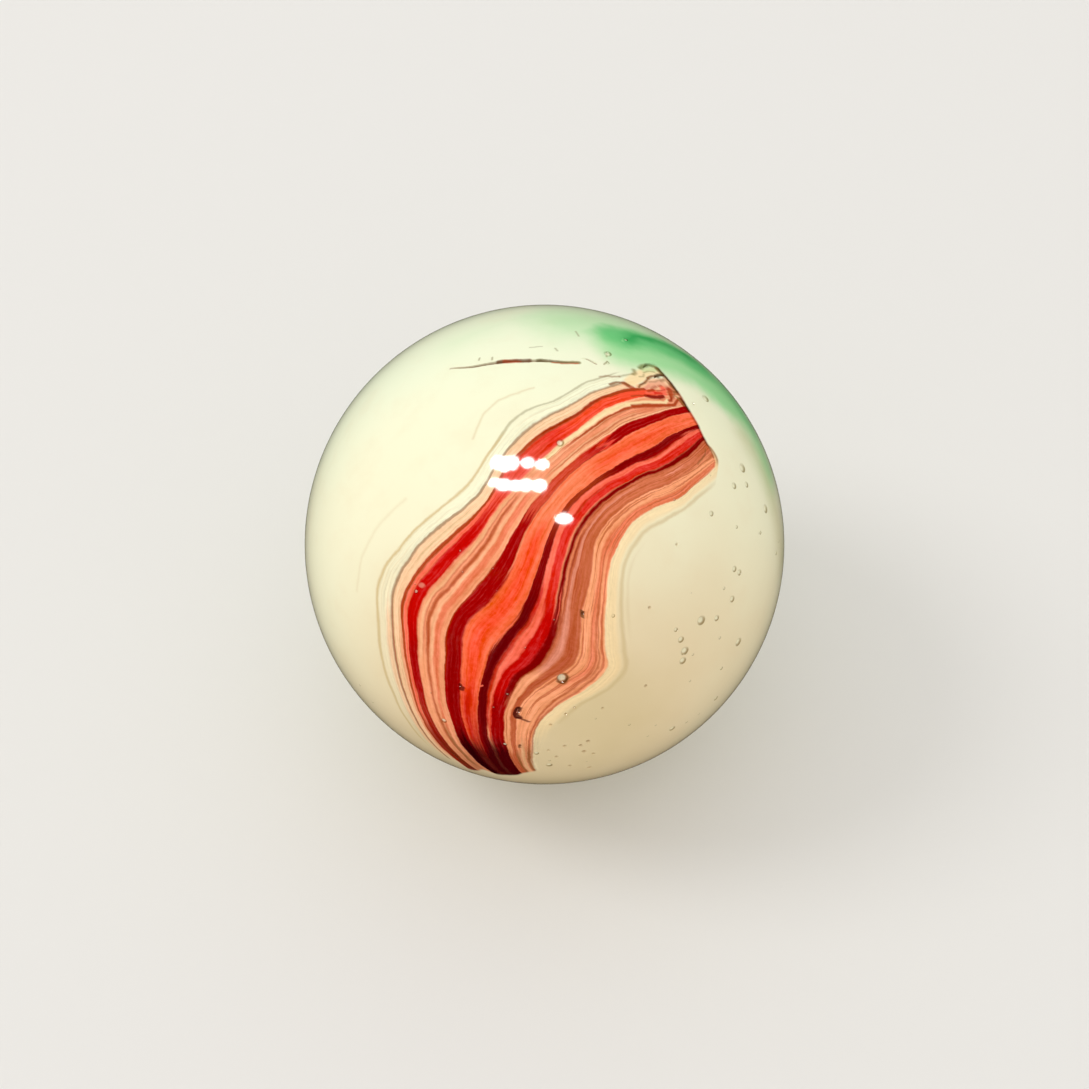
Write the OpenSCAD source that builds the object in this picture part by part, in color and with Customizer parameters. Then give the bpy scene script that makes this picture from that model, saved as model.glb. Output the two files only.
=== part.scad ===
// Glass marble: one solid ball of opaque cream glass, with a swirled ribbon of
// red, orange and maroon strands in its skin, a green patch beside the
// ribbon's cut end, a cold crease and the small open pits of machine-made glass.
//
// Millimetres. The origin is the ball's centre and +Z is up. A place on the
// ball is given in degrees round the ribbon's own pole: its TURN round the
// pole, from the green patch, and its TILT away from the pole.

/* [Ball] */
// Diameter of the ball
ball_d = 16; // [14:0.5:25]

/* [Crease] */
// Length of the cold crease, along the ball
crease_len = 4.2; // [2:0.1:6]
// Width of the crease's round bottom
crease_w = 0.16; // [0.1:0.02:0.3]
// Depth of the crease at its middle
crease_depth = 0.12; // [0.08:0.01:0.2]

/* [Folds at the cut end] */
// Length of each little fold where the ribbon was cut off
fold_len = 0.7; // [0.4:0.1:1.2]
// Depth of each fold at its middle
fold_depth = 0.06; // [0.04:0.01:0.1]

/* [Pits] */
// Diameter of an open bubble
bubble_d = 0.36; // [0.3:0.02:0.6]
// Diameter of a small pit
pit_d = 0.2; // [0.1:0.02:0.28]

/* [Hidden] */
$fn = 128;

ball_r = ball_d / 2;
overcut = 1;

// Where the ribbon's pole points
pole_azimuth = -45;
pole_elevation = 9;
pole_turn = 138;

// Depth that the coloured glass reaches below the surface
colour_depth = 0.5;

// Glass colours
cream = [0.97, 0.95, 0.82];
pale_green = [0.70, 0.88, 0.66];
green = [0.24, 0.70, 0.38];
tan = [0.86, 0.76, 0.58];
brown = [0.58, 0.38, 0.24];
peach = [0.98, 0.80, 0.64];
salmon = [0.93, 0.57, 0.40];
rust = [0.78, 0.40, 0.24];
coral = [1.00, 0.46, 0.35];
orange = [0.99, 0.38, 0.22];
red = [0.86, 0.14, 0.10];
dark_red = [0.64, 0.02, 0.02];
maroon = [0.46, 0.00, 0.02];
plum = [0.28, 0.00, 0.02];

// The guide lines run along the ribbon, from its cut end to its neck, and no
// two of them cross. Each row gives one line's tilt at every tenth degree of
// turn, from 10 to 160.
guide_first = 10;
guide_step = 10;
guides = [
    [44.5, 42.5, 41.5, 42.0, 42.5, 41.0, 37.0, 33.0, 29.5, 27.5, 30.0, 37.0, 42.0, 45.0, 47.5, 49.0],
    [47.5, 45.5, 44.0, 45.5, 46.0, 44.5, 41.0, 37.5, 34.5, 32.0, 35.0, 42.0, 46.5, 48.5, 50.5, 51.5],
    [49.5, 48.0, 47.5, 49.0, 50.0, 49.5, 45.5, 43.0, 40.5, 39.5, 45.0, 50.0, 51.0, 52.0, 53.0, 53.5],
    [54.0, 51.5, 51.0, 52.5, 53.5, 53.5, 51.5, 48.5, 46.0, 46.0, 50.5, 53.0, 54.0, 54.5, 55.0, 55.5],
    [57.0, 56.0, 55.0, 56.5, 58.0, 58.5, 56.5, 54.0, 53.0, 55.0, 57.0, 57.5, 58.0, 58.0, 58.5, 59.0],
    [58.0, 57.5, 57.0, 58.0, 59.0, 59.5, 58.0, 56.0, 55.5, 58.0, 59.0, 59.5, 60.0, 60.0, 60.0, 60.0],
    [61.5, 61.5, 62.0, 62.5, 63.5, 63.5, 63.0, 61.5, 63.0, 66.0, 64.5, 64.0, 63.5, 62.5, 61.5, 61.0],
    [63.5, 63.5, 64.5, 65.0, 65.5, 66.0, 65.5, 65.0, 67.0, 69.5, 68.5, 67.5, 66.5, 65.5, 64.0, 62.5],
    [66.0, 68.0, 70.0, 70.0, 70.5, 71.0, 71.5, 72.0, 74.5, 77.0, 75.5, 73.5, 72.0, 70.0, 68.0, 66.5],
    [67.5, 70.5, 73.0, 73.0, 75.0, 75.5, 74.5, 76.5, 80.0, 82.0, 79.5, 77.0, 75.0, 73.0, 70.5, 69.0],
    [72.0, 73.5, 75.0, 76.0, 78.0, 78.0, 77.0, 80.5, 84.0, 85.0, 82.5, 80.0, 77.5, 75.5, 73.0, 71.5],
    [74.5, 76.5, 78.0, 79.0, 82.0, 81.0, 80.5, 84.0, 87.5, 89.5, 87.0, 84.5, 81.5, 78.5, 75.5, 73.0]
];
last_guide = len(guides) - 1;

// Turns at which an outline has a point: the square cut, the neck's start and
// the neck's end are the first mark, mark 26 and the last mark
marks = [for (turn = [9 : 5 : 154]) turn, 157];
neck = 26;
last_mark = len(marks) - 1;

// Strands across the ribbon: [from, to, first mark, last mark, colour]. Whole
// numbers are guide lines, and a fraction is a share of the way to the next.
// Side by side they fill the ribbon.
strands = [
    [0.00, 0.12, 0, last_mark, tan],
    [0.12, 1.00, 0, last_mark, cream],
    [1.00, 1.60, 0, last_mark, salmon],
    [1.60, 2.00, 0, last_mark, peach],
    [2.00, 3.00, 0, last_mark, rust],
    [3.00, 3.30, 0, last_mark, maroon],
    [3.30, 3.75, 0, last_mark, red],
    [3.75, 4.00, 0, last_mark, coral],
    [4.00, 5.00, 0, neck, maroon],
    [5.00, 6.00, 0, neck, orange],
    [6.00, 7.00, 0, neck, dark_red],
    [4.00, 7.00, neck, last_mark, plum],
    [7.00, 7.40, 0, last_mark, peach],
    [7.40, 7.55, 0, last_mark, rust],
    [7.55, 8.00, 0, last_mark, peach],
    [8.00, 8.85, 0, last_mark, red],
    [8.85, 9.00, 0, last_mark, rust],
    [9.00, 9.85, 0, last_mark, peach],
    [9.85, 10.00, 0, last_mark, brown],
    [10.00, 10.90, 0, last_mark, cream],
    [10.90, 11.00, 0, last_mark, tan]
];

// Green patch: its place, its half length along the turn and its half width
patch_turn = 2;
patch_tilt = 86;
patch_streak = [2.8, 1.1];
patch_veil = [4.0, 1.6];

// Crease: its place, and its heading from the way that the tilt grows
crease_turn = 38.5;
crease_tilt = 95.5;
crease_heading = 41.5;

// Folds at the cut end: [turn, tilt], both heading along the turn
fold_w = 0.1;
folds = [[12, 72.5], [12, 76]];

// Open bubbles and small pits: [turn, tilt]
bubbles = [[107, 41.5], [121.5, 50], [-4.5, 47], [48, 16], [0, 65], [19.5, 83], [78, 14], [-41, 7.5]];
pits = [
    [3, 42.5], [-18.5, 39], [19, 37.5], [40, 35.5], [67, 30], [9, 23.5], [5, 23], [71, 17],
    [10, 16.5], [31, 13.5], [87.5, 13], [177, 20], [-140, 13.5], [122, 31], [152, 36], [143, 37.5],
    [148, 37.5], [163, 40], [141, 41], [156, 43], [152, 47], [125, 47.5], [138, 51], [82, 42.5],
    [131, 68.5], [48, 70.5], [94.5, 78.5]
];

// A smooth curve through four stations, a share f of the way from b to c
function curve_through(a, b, c, d, f) =
    b + ((c - a) * f + (2 * a - 5 * b + 4 * c - d) * f ^ 2 + (3 * b - a - 3 * c + d) * f ^ 3) / 2;

// Tilt of a guide line at a turn
function guide_tilt(line, turn) =
    let (last = len(line) - 1,
         place = (turn - guide_first) / guide_step,
         i = max(0, min(last - 1, floor(place))))
    curve_through(line[max(0, i - 1)], line[i], line[i + 1], line[min(last, i + 2)], place - i);

// Tilt at a turn of any place across the ribbon
function ribbon_tilt(across, turn) =
    let (i = min(floor(across), last_guide - 1),
         share = across - i)
    guide_tilt(guides[i], turn) * (1 - share) + guide_tilt(guides[i + 1], turn) * share;

// The ribbon is drawn square on from its middle
mid_turn = (marks[0] + marks[last_mark]) / 2;
mid_tilt = ribbon_tilt(last_guide / 2, mid_turn);

function seen_square_on(turn, tilt) =
    ball_r * [
        sin(tilt) * cos(turn - mid_turn) * cos(mid_tilt) - cos(tilt) * sin(mid_tilt),
        sin(tilt) * sin(turn - mid_turn)
    ];

// Every strand's edge that lies between two others, in order across the ribbon
function edges_between(from, to) =
    [for (s = strands) if (s[0] > from && s[0] < to && s[2] == 0) s[0]];

// Outline of a strand: along one edge, across its end, back along the other
// edge and across its beginning
function strand_outline(from, to, first, last) =
    let (across = edges_between(from, to),
         back = [for (i = [len(across) - 1 : -1 : 0]) across[i]])
    concat(
        [for (i = [first : last]) seen_square_on(marks[i], ribbon_tilt(from, marks[i]))],
        [for (a = across) seen_square_on(marks[last], ribbon_tilt(a, marks[last]))],
        [for (i = [last : -1 : first]) seen_square_on(marks[i], ribbon_tilt(to, marks[i]))],
        [for (a = back) seen_square_on(marks[first], ribbon_tilt(a, marks[first]))]
    );

function oval(half_len, half_w) =
    [for (a = [0 : 10 : 350]) [half_w * cos(a), half_len * sin(a)]];

// Turns +Z to a place on the ball, and +X the way that the tilt grows
module at_place(turn, tilt) {
    rotate([0, 90 - pole_elevation, pole_azimuth])
        rotate([0, tilt, turn + pole_turn])
            children();
}

// The ball's skin inside a column that stands on the place's own level
module skin_under(turn, tilt, outline) {
    difference() {
        intersection() {
            sphere(d = ball_d);
            at_place(turn, tilt)
                linear_extrude(ball_r + overcut)
                    polygon(outline);
        }
        sphere(d = ball_d - 2 * colour_depth);
    }
}

module strand(from, to, first, last) {
    skin_under(mid_turn, mid_tilt, strand_outline(from, to, first, last));
}

module patch(half) {
    skin_under(patch_turn, patch_tilt, oval(half[0], half[1]));
}

module cream_glass() {
    color(cream)
        difference() {
            sphere(d = ball_d);
            strand(0, last_guide, 0, last_mark);
            patch(patch_veil);
        }
}

module green_glass() {
    color(pale_green)
        difference() {
            patch(patch_veil);
            patch(patch_streak);
        }
    color(green)
        patch(patch_streak);
}

module ribbon_glass() {
    for (s = strands)
        color(s[4])
            strand(s[0], s[1], s[2], s[3]);
}

// A groove that is deepest at its middle and runs out at both ends. Its bottom
// follows a ring larger than the ball, sunk so that it just dips under the skin.
module groove(turn, tilt, heading, length, width, depth) {
    half_angle = length / ball_d * 180 / PI;
    sink = depth / (1 - cos(half_angle));
    ring_r = ball_r - depth + sink;
    sweep = 2.4 * half_angle * ball_r / ring_r;
    at_place(turn, tilt)
        rotate([0, 0, heading])
            translate([0, 0, -sink])
                rotate([90, 0, 0])
                    rotate_extrude(angle = sweep, start = 90 - sweep / 2)
                        translate([ring_r + width / 2, 0])
                            circle(d = width);
}

module pit(place, d) {
    at_place(place[0], place[1])
        translate([0, 0, ball_r + d / 6])
            sphere(d = d, $fn = 32);
}

module glass_ball() {
    difference() {
        union() {
            cream_glass();
            green_glass();
            ribbon_glass();
        }
        color(brown) {
            groove(crease_turn, crease_tilt, crease_heading, crease_len, crease_w, crease_depth);
            for (place = folds)
                groove(place[0], place[1], 90, fold_len, fold_w, fold_depth);
        }
        color(tan) {
            for (place = bubbles)
                pit(place, bubble_d);
            for (place = pits)
                pit(place, pit_d);
        }
    }
}

glass_ball();
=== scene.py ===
"""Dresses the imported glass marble: its pitted ball, its swirled glass, the studio and the camera.

A place on the ball is given in degrees round the ribbon's own pole, as in the part's source: its turn
round the pole, from the green patch, and its tilt away from the pole. Inside the ribbon the tilt gives
way to a measure across it, which is a whole number on each guide line.
"""

from __future__ import annotations

import logging
import math
import sys
from dataclasses import dataclass
from enum import Enum

import bpy
from mathutils import Matrix, Vector


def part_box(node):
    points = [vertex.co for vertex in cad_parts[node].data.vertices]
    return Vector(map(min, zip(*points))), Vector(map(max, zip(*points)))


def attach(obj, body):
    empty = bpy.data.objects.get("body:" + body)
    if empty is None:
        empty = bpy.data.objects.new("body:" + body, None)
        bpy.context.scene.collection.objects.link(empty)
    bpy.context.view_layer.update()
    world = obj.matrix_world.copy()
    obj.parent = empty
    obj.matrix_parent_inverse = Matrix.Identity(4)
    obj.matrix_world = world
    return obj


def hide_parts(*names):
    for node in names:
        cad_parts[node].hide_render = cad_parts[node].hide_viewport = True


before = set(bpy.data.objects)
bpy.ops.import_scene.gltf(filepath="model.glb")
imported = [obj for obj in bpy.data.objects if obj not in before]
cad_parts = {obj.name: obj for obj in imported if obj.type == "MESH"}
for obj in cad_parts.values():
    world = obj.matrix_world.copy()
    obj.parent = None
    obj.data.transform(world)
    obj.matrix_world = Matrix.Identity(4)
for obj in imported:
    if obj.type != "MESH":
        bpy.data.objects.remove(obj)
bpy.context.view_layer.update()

LOG = logging.getLogger("marble")
MM = 0.001

Tree = bpy.types.NodeTree
Socket = bpy.types.NodeSocket
Material = bpy.types.Material
Object = bpy.types.Object
Pair = tuple[float, float]
Places = tuple[Pair, ...]
Kinds = dict[str, str]
Feed = "Socket | Glass | Material | tuple[float, ...] | float | str | bool"


class Glass(Enum):
    """The colours of glass in the marble, as they look in plain light, in sRGB from 0 to 1."""

    CREAM = (0.97, 0.957, 0.828)
    MILK = (0.95, 0.975, 0.855)
    BEIGE = (0.91, 0.795, 0.62)
    OLIVE = (0.78, 0.73, 0.5)
    MINT = (0.62, 0.88, 0.61)
    GREEN = (0.42, 0.8, 0.49)
    DEEP_GREEN = (0.14, 0.64, 0.31)
    SAND = (1, 0.88, 0.67)
    PEACH = (1, 0.78, 0.6)
    APRICOT = (1, 0.66, 0.47)
    PINK = (0.93, 0.6, 0.5)
    SALMON = (0.94, 0.55, 0.39)
    TERRACOTTA = (0.92, 0.48, 0.33)
    RUST = (0.8, 0.41, 0.26)
    SIENNA = (0.69, 0.26, 0.11)
    TAN = (0.84, 0.74, 0.54)
    KHAKI = (0.54, 0.48, 0.27)
    MOSS = (0.5, 0.52, 0.29)
    BROWN = (0.56, 0.35, 0.19)
    UMBER = (0.36, 0.24, 0.11)
    CORAL = (1, 0.44, 0.34)
    ORANGE = (1, 0.44, 0.28)
    VERMILION = (0.97, 0.27, 0.11)
    POPPY = (0.98, 0.33, 0.21)
    SCARLET = (0.89, 0.19, 0.14)
    RED = (0.79, 0.02, 0)
    CRIMSON = (0.65, 0, 0)
    MAROON = (0.53, 0, 0)
    PLUM = (0.27, 0, 0.02)
    SOOT = (0.12, 0, 0.01)

    def linear(self) -> tuple[float, float, float, float]:
        """Returns the colour as a linear RGBA value for a node's socket."""
        return (*(((c + 0.055) / 1.055) ** 2.4 if c > 0.04045 else c / 12.92 for c in self.value), 1.0)


@dataclass(frozen=True)
class Pole:
    """Where the ribbon's pole points, and where turns round it are counted from.

    Args:
        azimuth: Degrees round +Z from +X.
        elevation: Degrees above the level.
        turn: Degrees from the pole's own lower side to the green patch.
    """

    azimuth: float = -45
    elevation: float = 9
    turn: float = 138

    def basis(self) -> Matrix:
        """Works out the turn that carries the pole's own axes to the ball's.

        Returns:
            The turn, whose columns are the pole's axes.
        """
        spin = Matrix.Rotation(math.radians(self.azimuth), 3, "Z")
        lean = Matrix.Rotation(math.radians(90 - self.elevation), 3, "Y")
        start = Matrix.Rotation(math.radians(self.turn), 3, "Z")
        return spin @ lean @ start

    def place(self, turn: float, tilt: float) -> Vector:
        """Gives the direction of a place on the ball.

        Args:
            turn: Degrees round the pole.
            tilt: Degrees away from the pole.

        Returns:
            A unit vector from the ball's centre.
        """
        phi, theta = math.radians(turn), math.radians(tilt)
        local = Vector((math.sin(theta) * math.cos(phi), math.sin(theta) * math.sin(phi), math.cos(theta)))
        return self.basis() @ local

    def measure(self, wires: Wiring, place: Socket) -> tuple[Socket, Socket]:
        """Measures a direction by nodes.

        Args:
            wires: The wiring that gets the nodes.
            place: A unit vector from the ball's centre.

        Returns:
            Its turn and its tilt, in degrees.
        """
        basis = self.basis()
        x, y, z = (wires.dot(place, tuple(basis.col[i])) for i in range(3))
        turn = wires.math("DEGREES", wires.math("ARCTAN2", y, x))
        return turn, wires.math("DEGREES", wires.math("ARCCOSINE", z))


POLE = Pole()


# ---- Nodes ----


class Wiring:
    """Adds nodes to one tree and joins them, so that a pattern reads like a formula."""

    COLUMNS = 14
    SPACING = (190, 260)

    def __init__(self, tree: Tree) -> None:
        """Starts on an empty tree."""
        self.tree = tree
        self.entry: dict[str, Socket] = {}
        self.leave: dict[str, Socket] = {}

    @classmethod
    def group(cls, name: str, inputs: Kinds, outputs: Kinds, kind: str = "Shader") -> Wiring:
        """Starts a node group.

        Args:
            name: The group's name.
            inputs: Each input's name, with its kind of socket.
            outputs: Each output's name, with its kind of socket.
            kind: The kind of tree, Shader or Geometry.

        Returns:
            The group's wiring, with its inputs by name as entry and its outputs as leave.
        """
        tree = bpy.data.node_groups.new(name, f"{kind}NodeTree")
        for side, sockets in (("INPUT", inputs), ("OUTPUT", outputs)):
            for label, socket in sockets.items():
                tree.interface.new_socket(name=label, in_out=side, socket_type=f"NodeSocket{socket}")
        wires = cls(tree)
        wires.entry = {socket.name: socket for socket in wires.node("NodeGroupInput").outputs if socket.name}
        wires.leave = {socket.name: socket for socket in wires.node("NodeGroupOutput").inputs if socket.name}
        return wires

    def node(self, kind: str, **settings: object) -> bpy.types.Node:
        """Adds a node and sets its own properties.

        Args:
            kind: The node's type name.
            **settings: Properties of the node, such as its operation.

        Returns:
            The new node.
        """
        made = self.tree.nodes.new(kind)
        row, column = divmod(len(self.tree.nodes), self.COLUMNS)
        made.location = (self.SPACING[0] * column, -self.SPACING[1] * row)
        for name, value in settings.items():
            setattr(made, name, value)
        return made

    def feed(self, socket: Socket, value: Feed) -> None:
        """Links an input to a socket, or sets its plain value.

        Args:
            socket: The input.
            value: A socket, a glass or a plain value.
        """
        if isinstance(value, Socket):
            self.tree.links.new(value, socket)
        else:
            socket.default_value = value.linear() if isinstance(value, Glass) else value

    def call(self, kind: str, inputs: dict[str, Feed], out: str | None = None, **settings: object) -> Socket:
        """Adds a node, feeds its inputs by name or identifier and gives one output.

        Args:
            kind: The node's type name.
            inputs: What goes into each named input.
            out: The wanted output's name or identifier, or None for the first one.
            **settings: Properties of the node.

        Returns:
            The output socket.
        """
        made = self.node(kind, **settings)
        for name, value in inputs.items():
            self.feed(find_socket(made.inputs, name), value)
        return find_socket(made.outputs, out) if out else made.outputs[0]

    def math(self, operation: str, *values: Feed) -> Socket:
        """Adds a Math node.

        Args:
            operation: What it works out.
            *values: What goes into its inputs, in order.

        Returns:
            The result.
        """
        made = self.node("ShaderNodeMath", operation=operation)
        for socket, value in zip(made.inputs, values):
            self.feed(socket, value)
        return made.outputs[0]

    def times(self, first: Feed, second: Feed) -> Socket:
        """Returns the product of two values."""
        return self.math("MULTIPLY", first, second)

    def minus(self, first: Feed, second: Feed) -> Socket:
        """Returns the first value less the second."""
        return self.math("SUBTRACT", first, second)

    def fit(self, value: Feed, slope: Feed, base: Feed) -> Socket:
        """Returns a value times a slope, added to a base."""
        return self.math("MULTIPLY_ADD", value, slope, base)

    def limit(self, value: Feed) -> Socket:
        """Returns a value held between 0 and 1, by nodes that keep the shader's working memory small."""
        return self.math("MINIMUM", self.math("MAXIMUM", value, 0), 1)

    def vector(self, operation: str, *values: Feed, out: str = "Vector") -> Socket:
        """Adds a Vector Math node.

        Args:
            operation: What it works out.
            *values: What goes into its inputs, in order.
            out: The wanted output's name.

        Returns:
            The result.
        """
        made = self.node("ShaderNodeVectorMath", operation=operation)
        for socket, value in zip(made.inputs, values):
            self.feed(socket, value)
        return made.outputs[out]

    def dot(self, first: Feed, second: Feed) -> Socket:
        """Returns the dot product of two vectors."""
        return self.vector("DOT_PRODUCT", first, second, out="Value")

    def scaled(self, vector: Feed, factor: Feed) -> Socket:
        """Returns a vector times a factor."""
        return self.call("ShaderNodeVectorMath", {"Vector": vector, "Scale": factor}, operation="SCALE")

    def flat(self, x: Feed, y: Feed) -> Socket:
        """Returns the vector of a point on the flat."""
        return self.call("ShaderNodeCombineXYZ", {"X": x, "Y": y})

    def ramp(self, value: Feed, low: Feed, high: Feed, start: Feed = 0, end: Feed = 1) -> Socket:
        """Returns a soft step from start to end while the value goes from low to high."""
        inputs = {"Value": value, "From Min": low, "From Max": high, "To Min": start, "To Max": end}
        return self.call("ShaderNodeMapRange", inputs, "Result", interpolation_type="SMOOTHSTEP", clamp=False)

    def window(self, value: Feed, low: Feed, high: Feed, soft: Feed) -> Socket:
        """Adds a step up and a step down.

        Args:
            value: What is measured.
            low: The middle of the step up.
            high: The middle of the step down.
            soft: Half the width of each step.

        Returns:
            1 between the two limits and 0 outside them.
        """
        rise = self.ramp(value, self.minus(low, soft), self.math("ADD", low, soft))
        fall = self.ramp(value, self.minus(high, soft), self.math("ADD", high, soft), 1, 0)
        return self.times(rise, fall)

    def mix(self, amount: Feed, under: Feed, over: Feed, blend: str = "MIX") -> Socket:
        """Returns one colour laid over another."""
        inputs = {"Factor_Float": amount, "A_Color": under, "B_Color": over}
        return self.call("ShaderNodeMix", inputs, "Result_Color", data_type="RGBA", blend_type=blend)

    def noise(
        self, at: Feed, scale: float, detail: float = 2, rough: float = 0.5, dims: str = "3D",
    ) -> Socket:
        """Returns the height of a Noise texture, about 0.5 on average."""
        inputs = {"Vector": at, "Scale": scale, "Detail": detail, "Roughness": rough}
        return self.call("ShaderNodeTexNoise", inputs, "Fac", noise_dimensions=dims)

    def curve(self, value: Feed, places: list[Pair]) -> Socket:
        """Adds a smooth curve through given places.

        Args:
            value: What goes in.
            places: The curve's places, the first at 0 and the last at 1.

        Returns:
            The curve's value.
        """
        made = self.node("ShaderNodeFloatCurve")
        points = made.mapping.curves[0].points
        points[0].location, points[1].location = places[0], places[-1]
        for place in places[1:-1]:
            points.new(*place)
        made.mapping.update()
        self.feed(made.inputs["Value"], value)
        return made.outputs["Value"]

    def stored(self, name: str, kind: str = "FLOAT") -> Socket:
        """Returns an attribute that the geometry carries."""
        return self.call("GeometryNodeInputNamedAttribute", {"Name": name}, "Attribute", data_type=kind)

    def here(self) -> Socket:
        """Returns each point's own position."""
        return self.call("GeometryNodeInputPosition", {})

    def outward(self) -> Socket:
        """Returns each point's direction from the ball's centre."""
        return self.vector("NORMALIZE", self.here())

    def place(self, group: Tree, **inputs: Feed) -> bpy.types.NodeOutputs:
        """Adds a group node.

        Args:
            group: The group.
            **inputs: What goes into its inputs, named with underscores for spaces.

        Returns:
            Its outputs by name.
        """
        made = self.node("ShaderNodeGroup", node_tree=group)
        for name, value in inputs.items():
            self.feed(made.inputs[name.replace("_", " ")], value)
        return made.outputs


def find_socket(sockets: bpy.types.bpy_prop_collection, name: str) -> Socket:
    """Finds a node's socket by its identifier, or else by its name.

    Args:
        sockets: The node's inputs or outputs.
        name: The identifier or the name.

    Returns:
        The socket.
    """
    for socket in sockets:
        if socket.identifier == name:
            return socket
    return sockets[name]


def add_object(name: str, data: bpy.types.ID) -> Object:
    """Puts a new object in the scene.

    Args:
        name: The object's name.
        data: Its mesh, light or camera.

    Returns:
        The object.
    """
    made = bpy.data.objects.new(name, data)
    bpy.context.scene.collection.objects.link(made)
    return made


@dataclass(frozen=True)
class Zone:
    """A stretch of the ball whose glass is a material of its own, and reads only the strands that reach it.

    Args:
        name: The material's name.
        turns: The turns between which it lies.
        tilts: The tilts between which it lies.
    """

    name: str
    turns: Pair
    tilts: Pair = (20, 135)

    # Degrees beside a zone from which its glass still reads a strand.
    MARGIN = 2

    def meets(self, low: float, high: float) -> bool:
        """Returns whether a range of turns comes near the zone."""
        return low < self.turns[1] + self.MARGIN and high > self.turns[0] - self.MARGIN

    def select(self, wires: Wiring, turn: Socket, tilt: Socket) -> Socket:
        """Tests by nodes whether a place is in the zone.

        Args:
            wires: The wiring that gets the nodes.
            turn: The place's turn.
            tilt: The place's tilt.

        Returns:
            1 inside the zone and 0 outside it.
        """
        inside = None
        for value, (low, high) in ((turn, self.turns), (tilt, self.tilts)):
            for operation, limit in (("GREATER_THAN", low), ("LESS_THAN", high)):
                test = wires.math(operation, value, limit)
                inside = test if inside is None else wires.times(inside, test)
        return inside


ZONES = (
    Zone("green_glass", (-60, 4)),
    Zone("ribbon_start", (4, 27)),
    Zone("ribbon_near", (27, 60)),
    Zone("ribbon_middle", (60, 94)),
    Zone("ribbon_far", (94, 128)),
    Zone("ribbon_neck", (128, 166)),
)


# ---- The ball and its pits ----


class Mark(Enum):
    """What a point of the ball's plan stands for."""

    PIT = 0
    BUBBLE = 1
    CREASE = 2


@dataclass(frozen=True)
class Spot:
    """A pit or a bubble: its place and its diameter in millimetres."""

    turn: float
    tilt: float
    size: float


@dataclass(frozen=True)
class Line:
    """A crease or a fold, as a run of places, with its width in millimetres at its middle."""

    places: Places
    width: float


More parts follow.
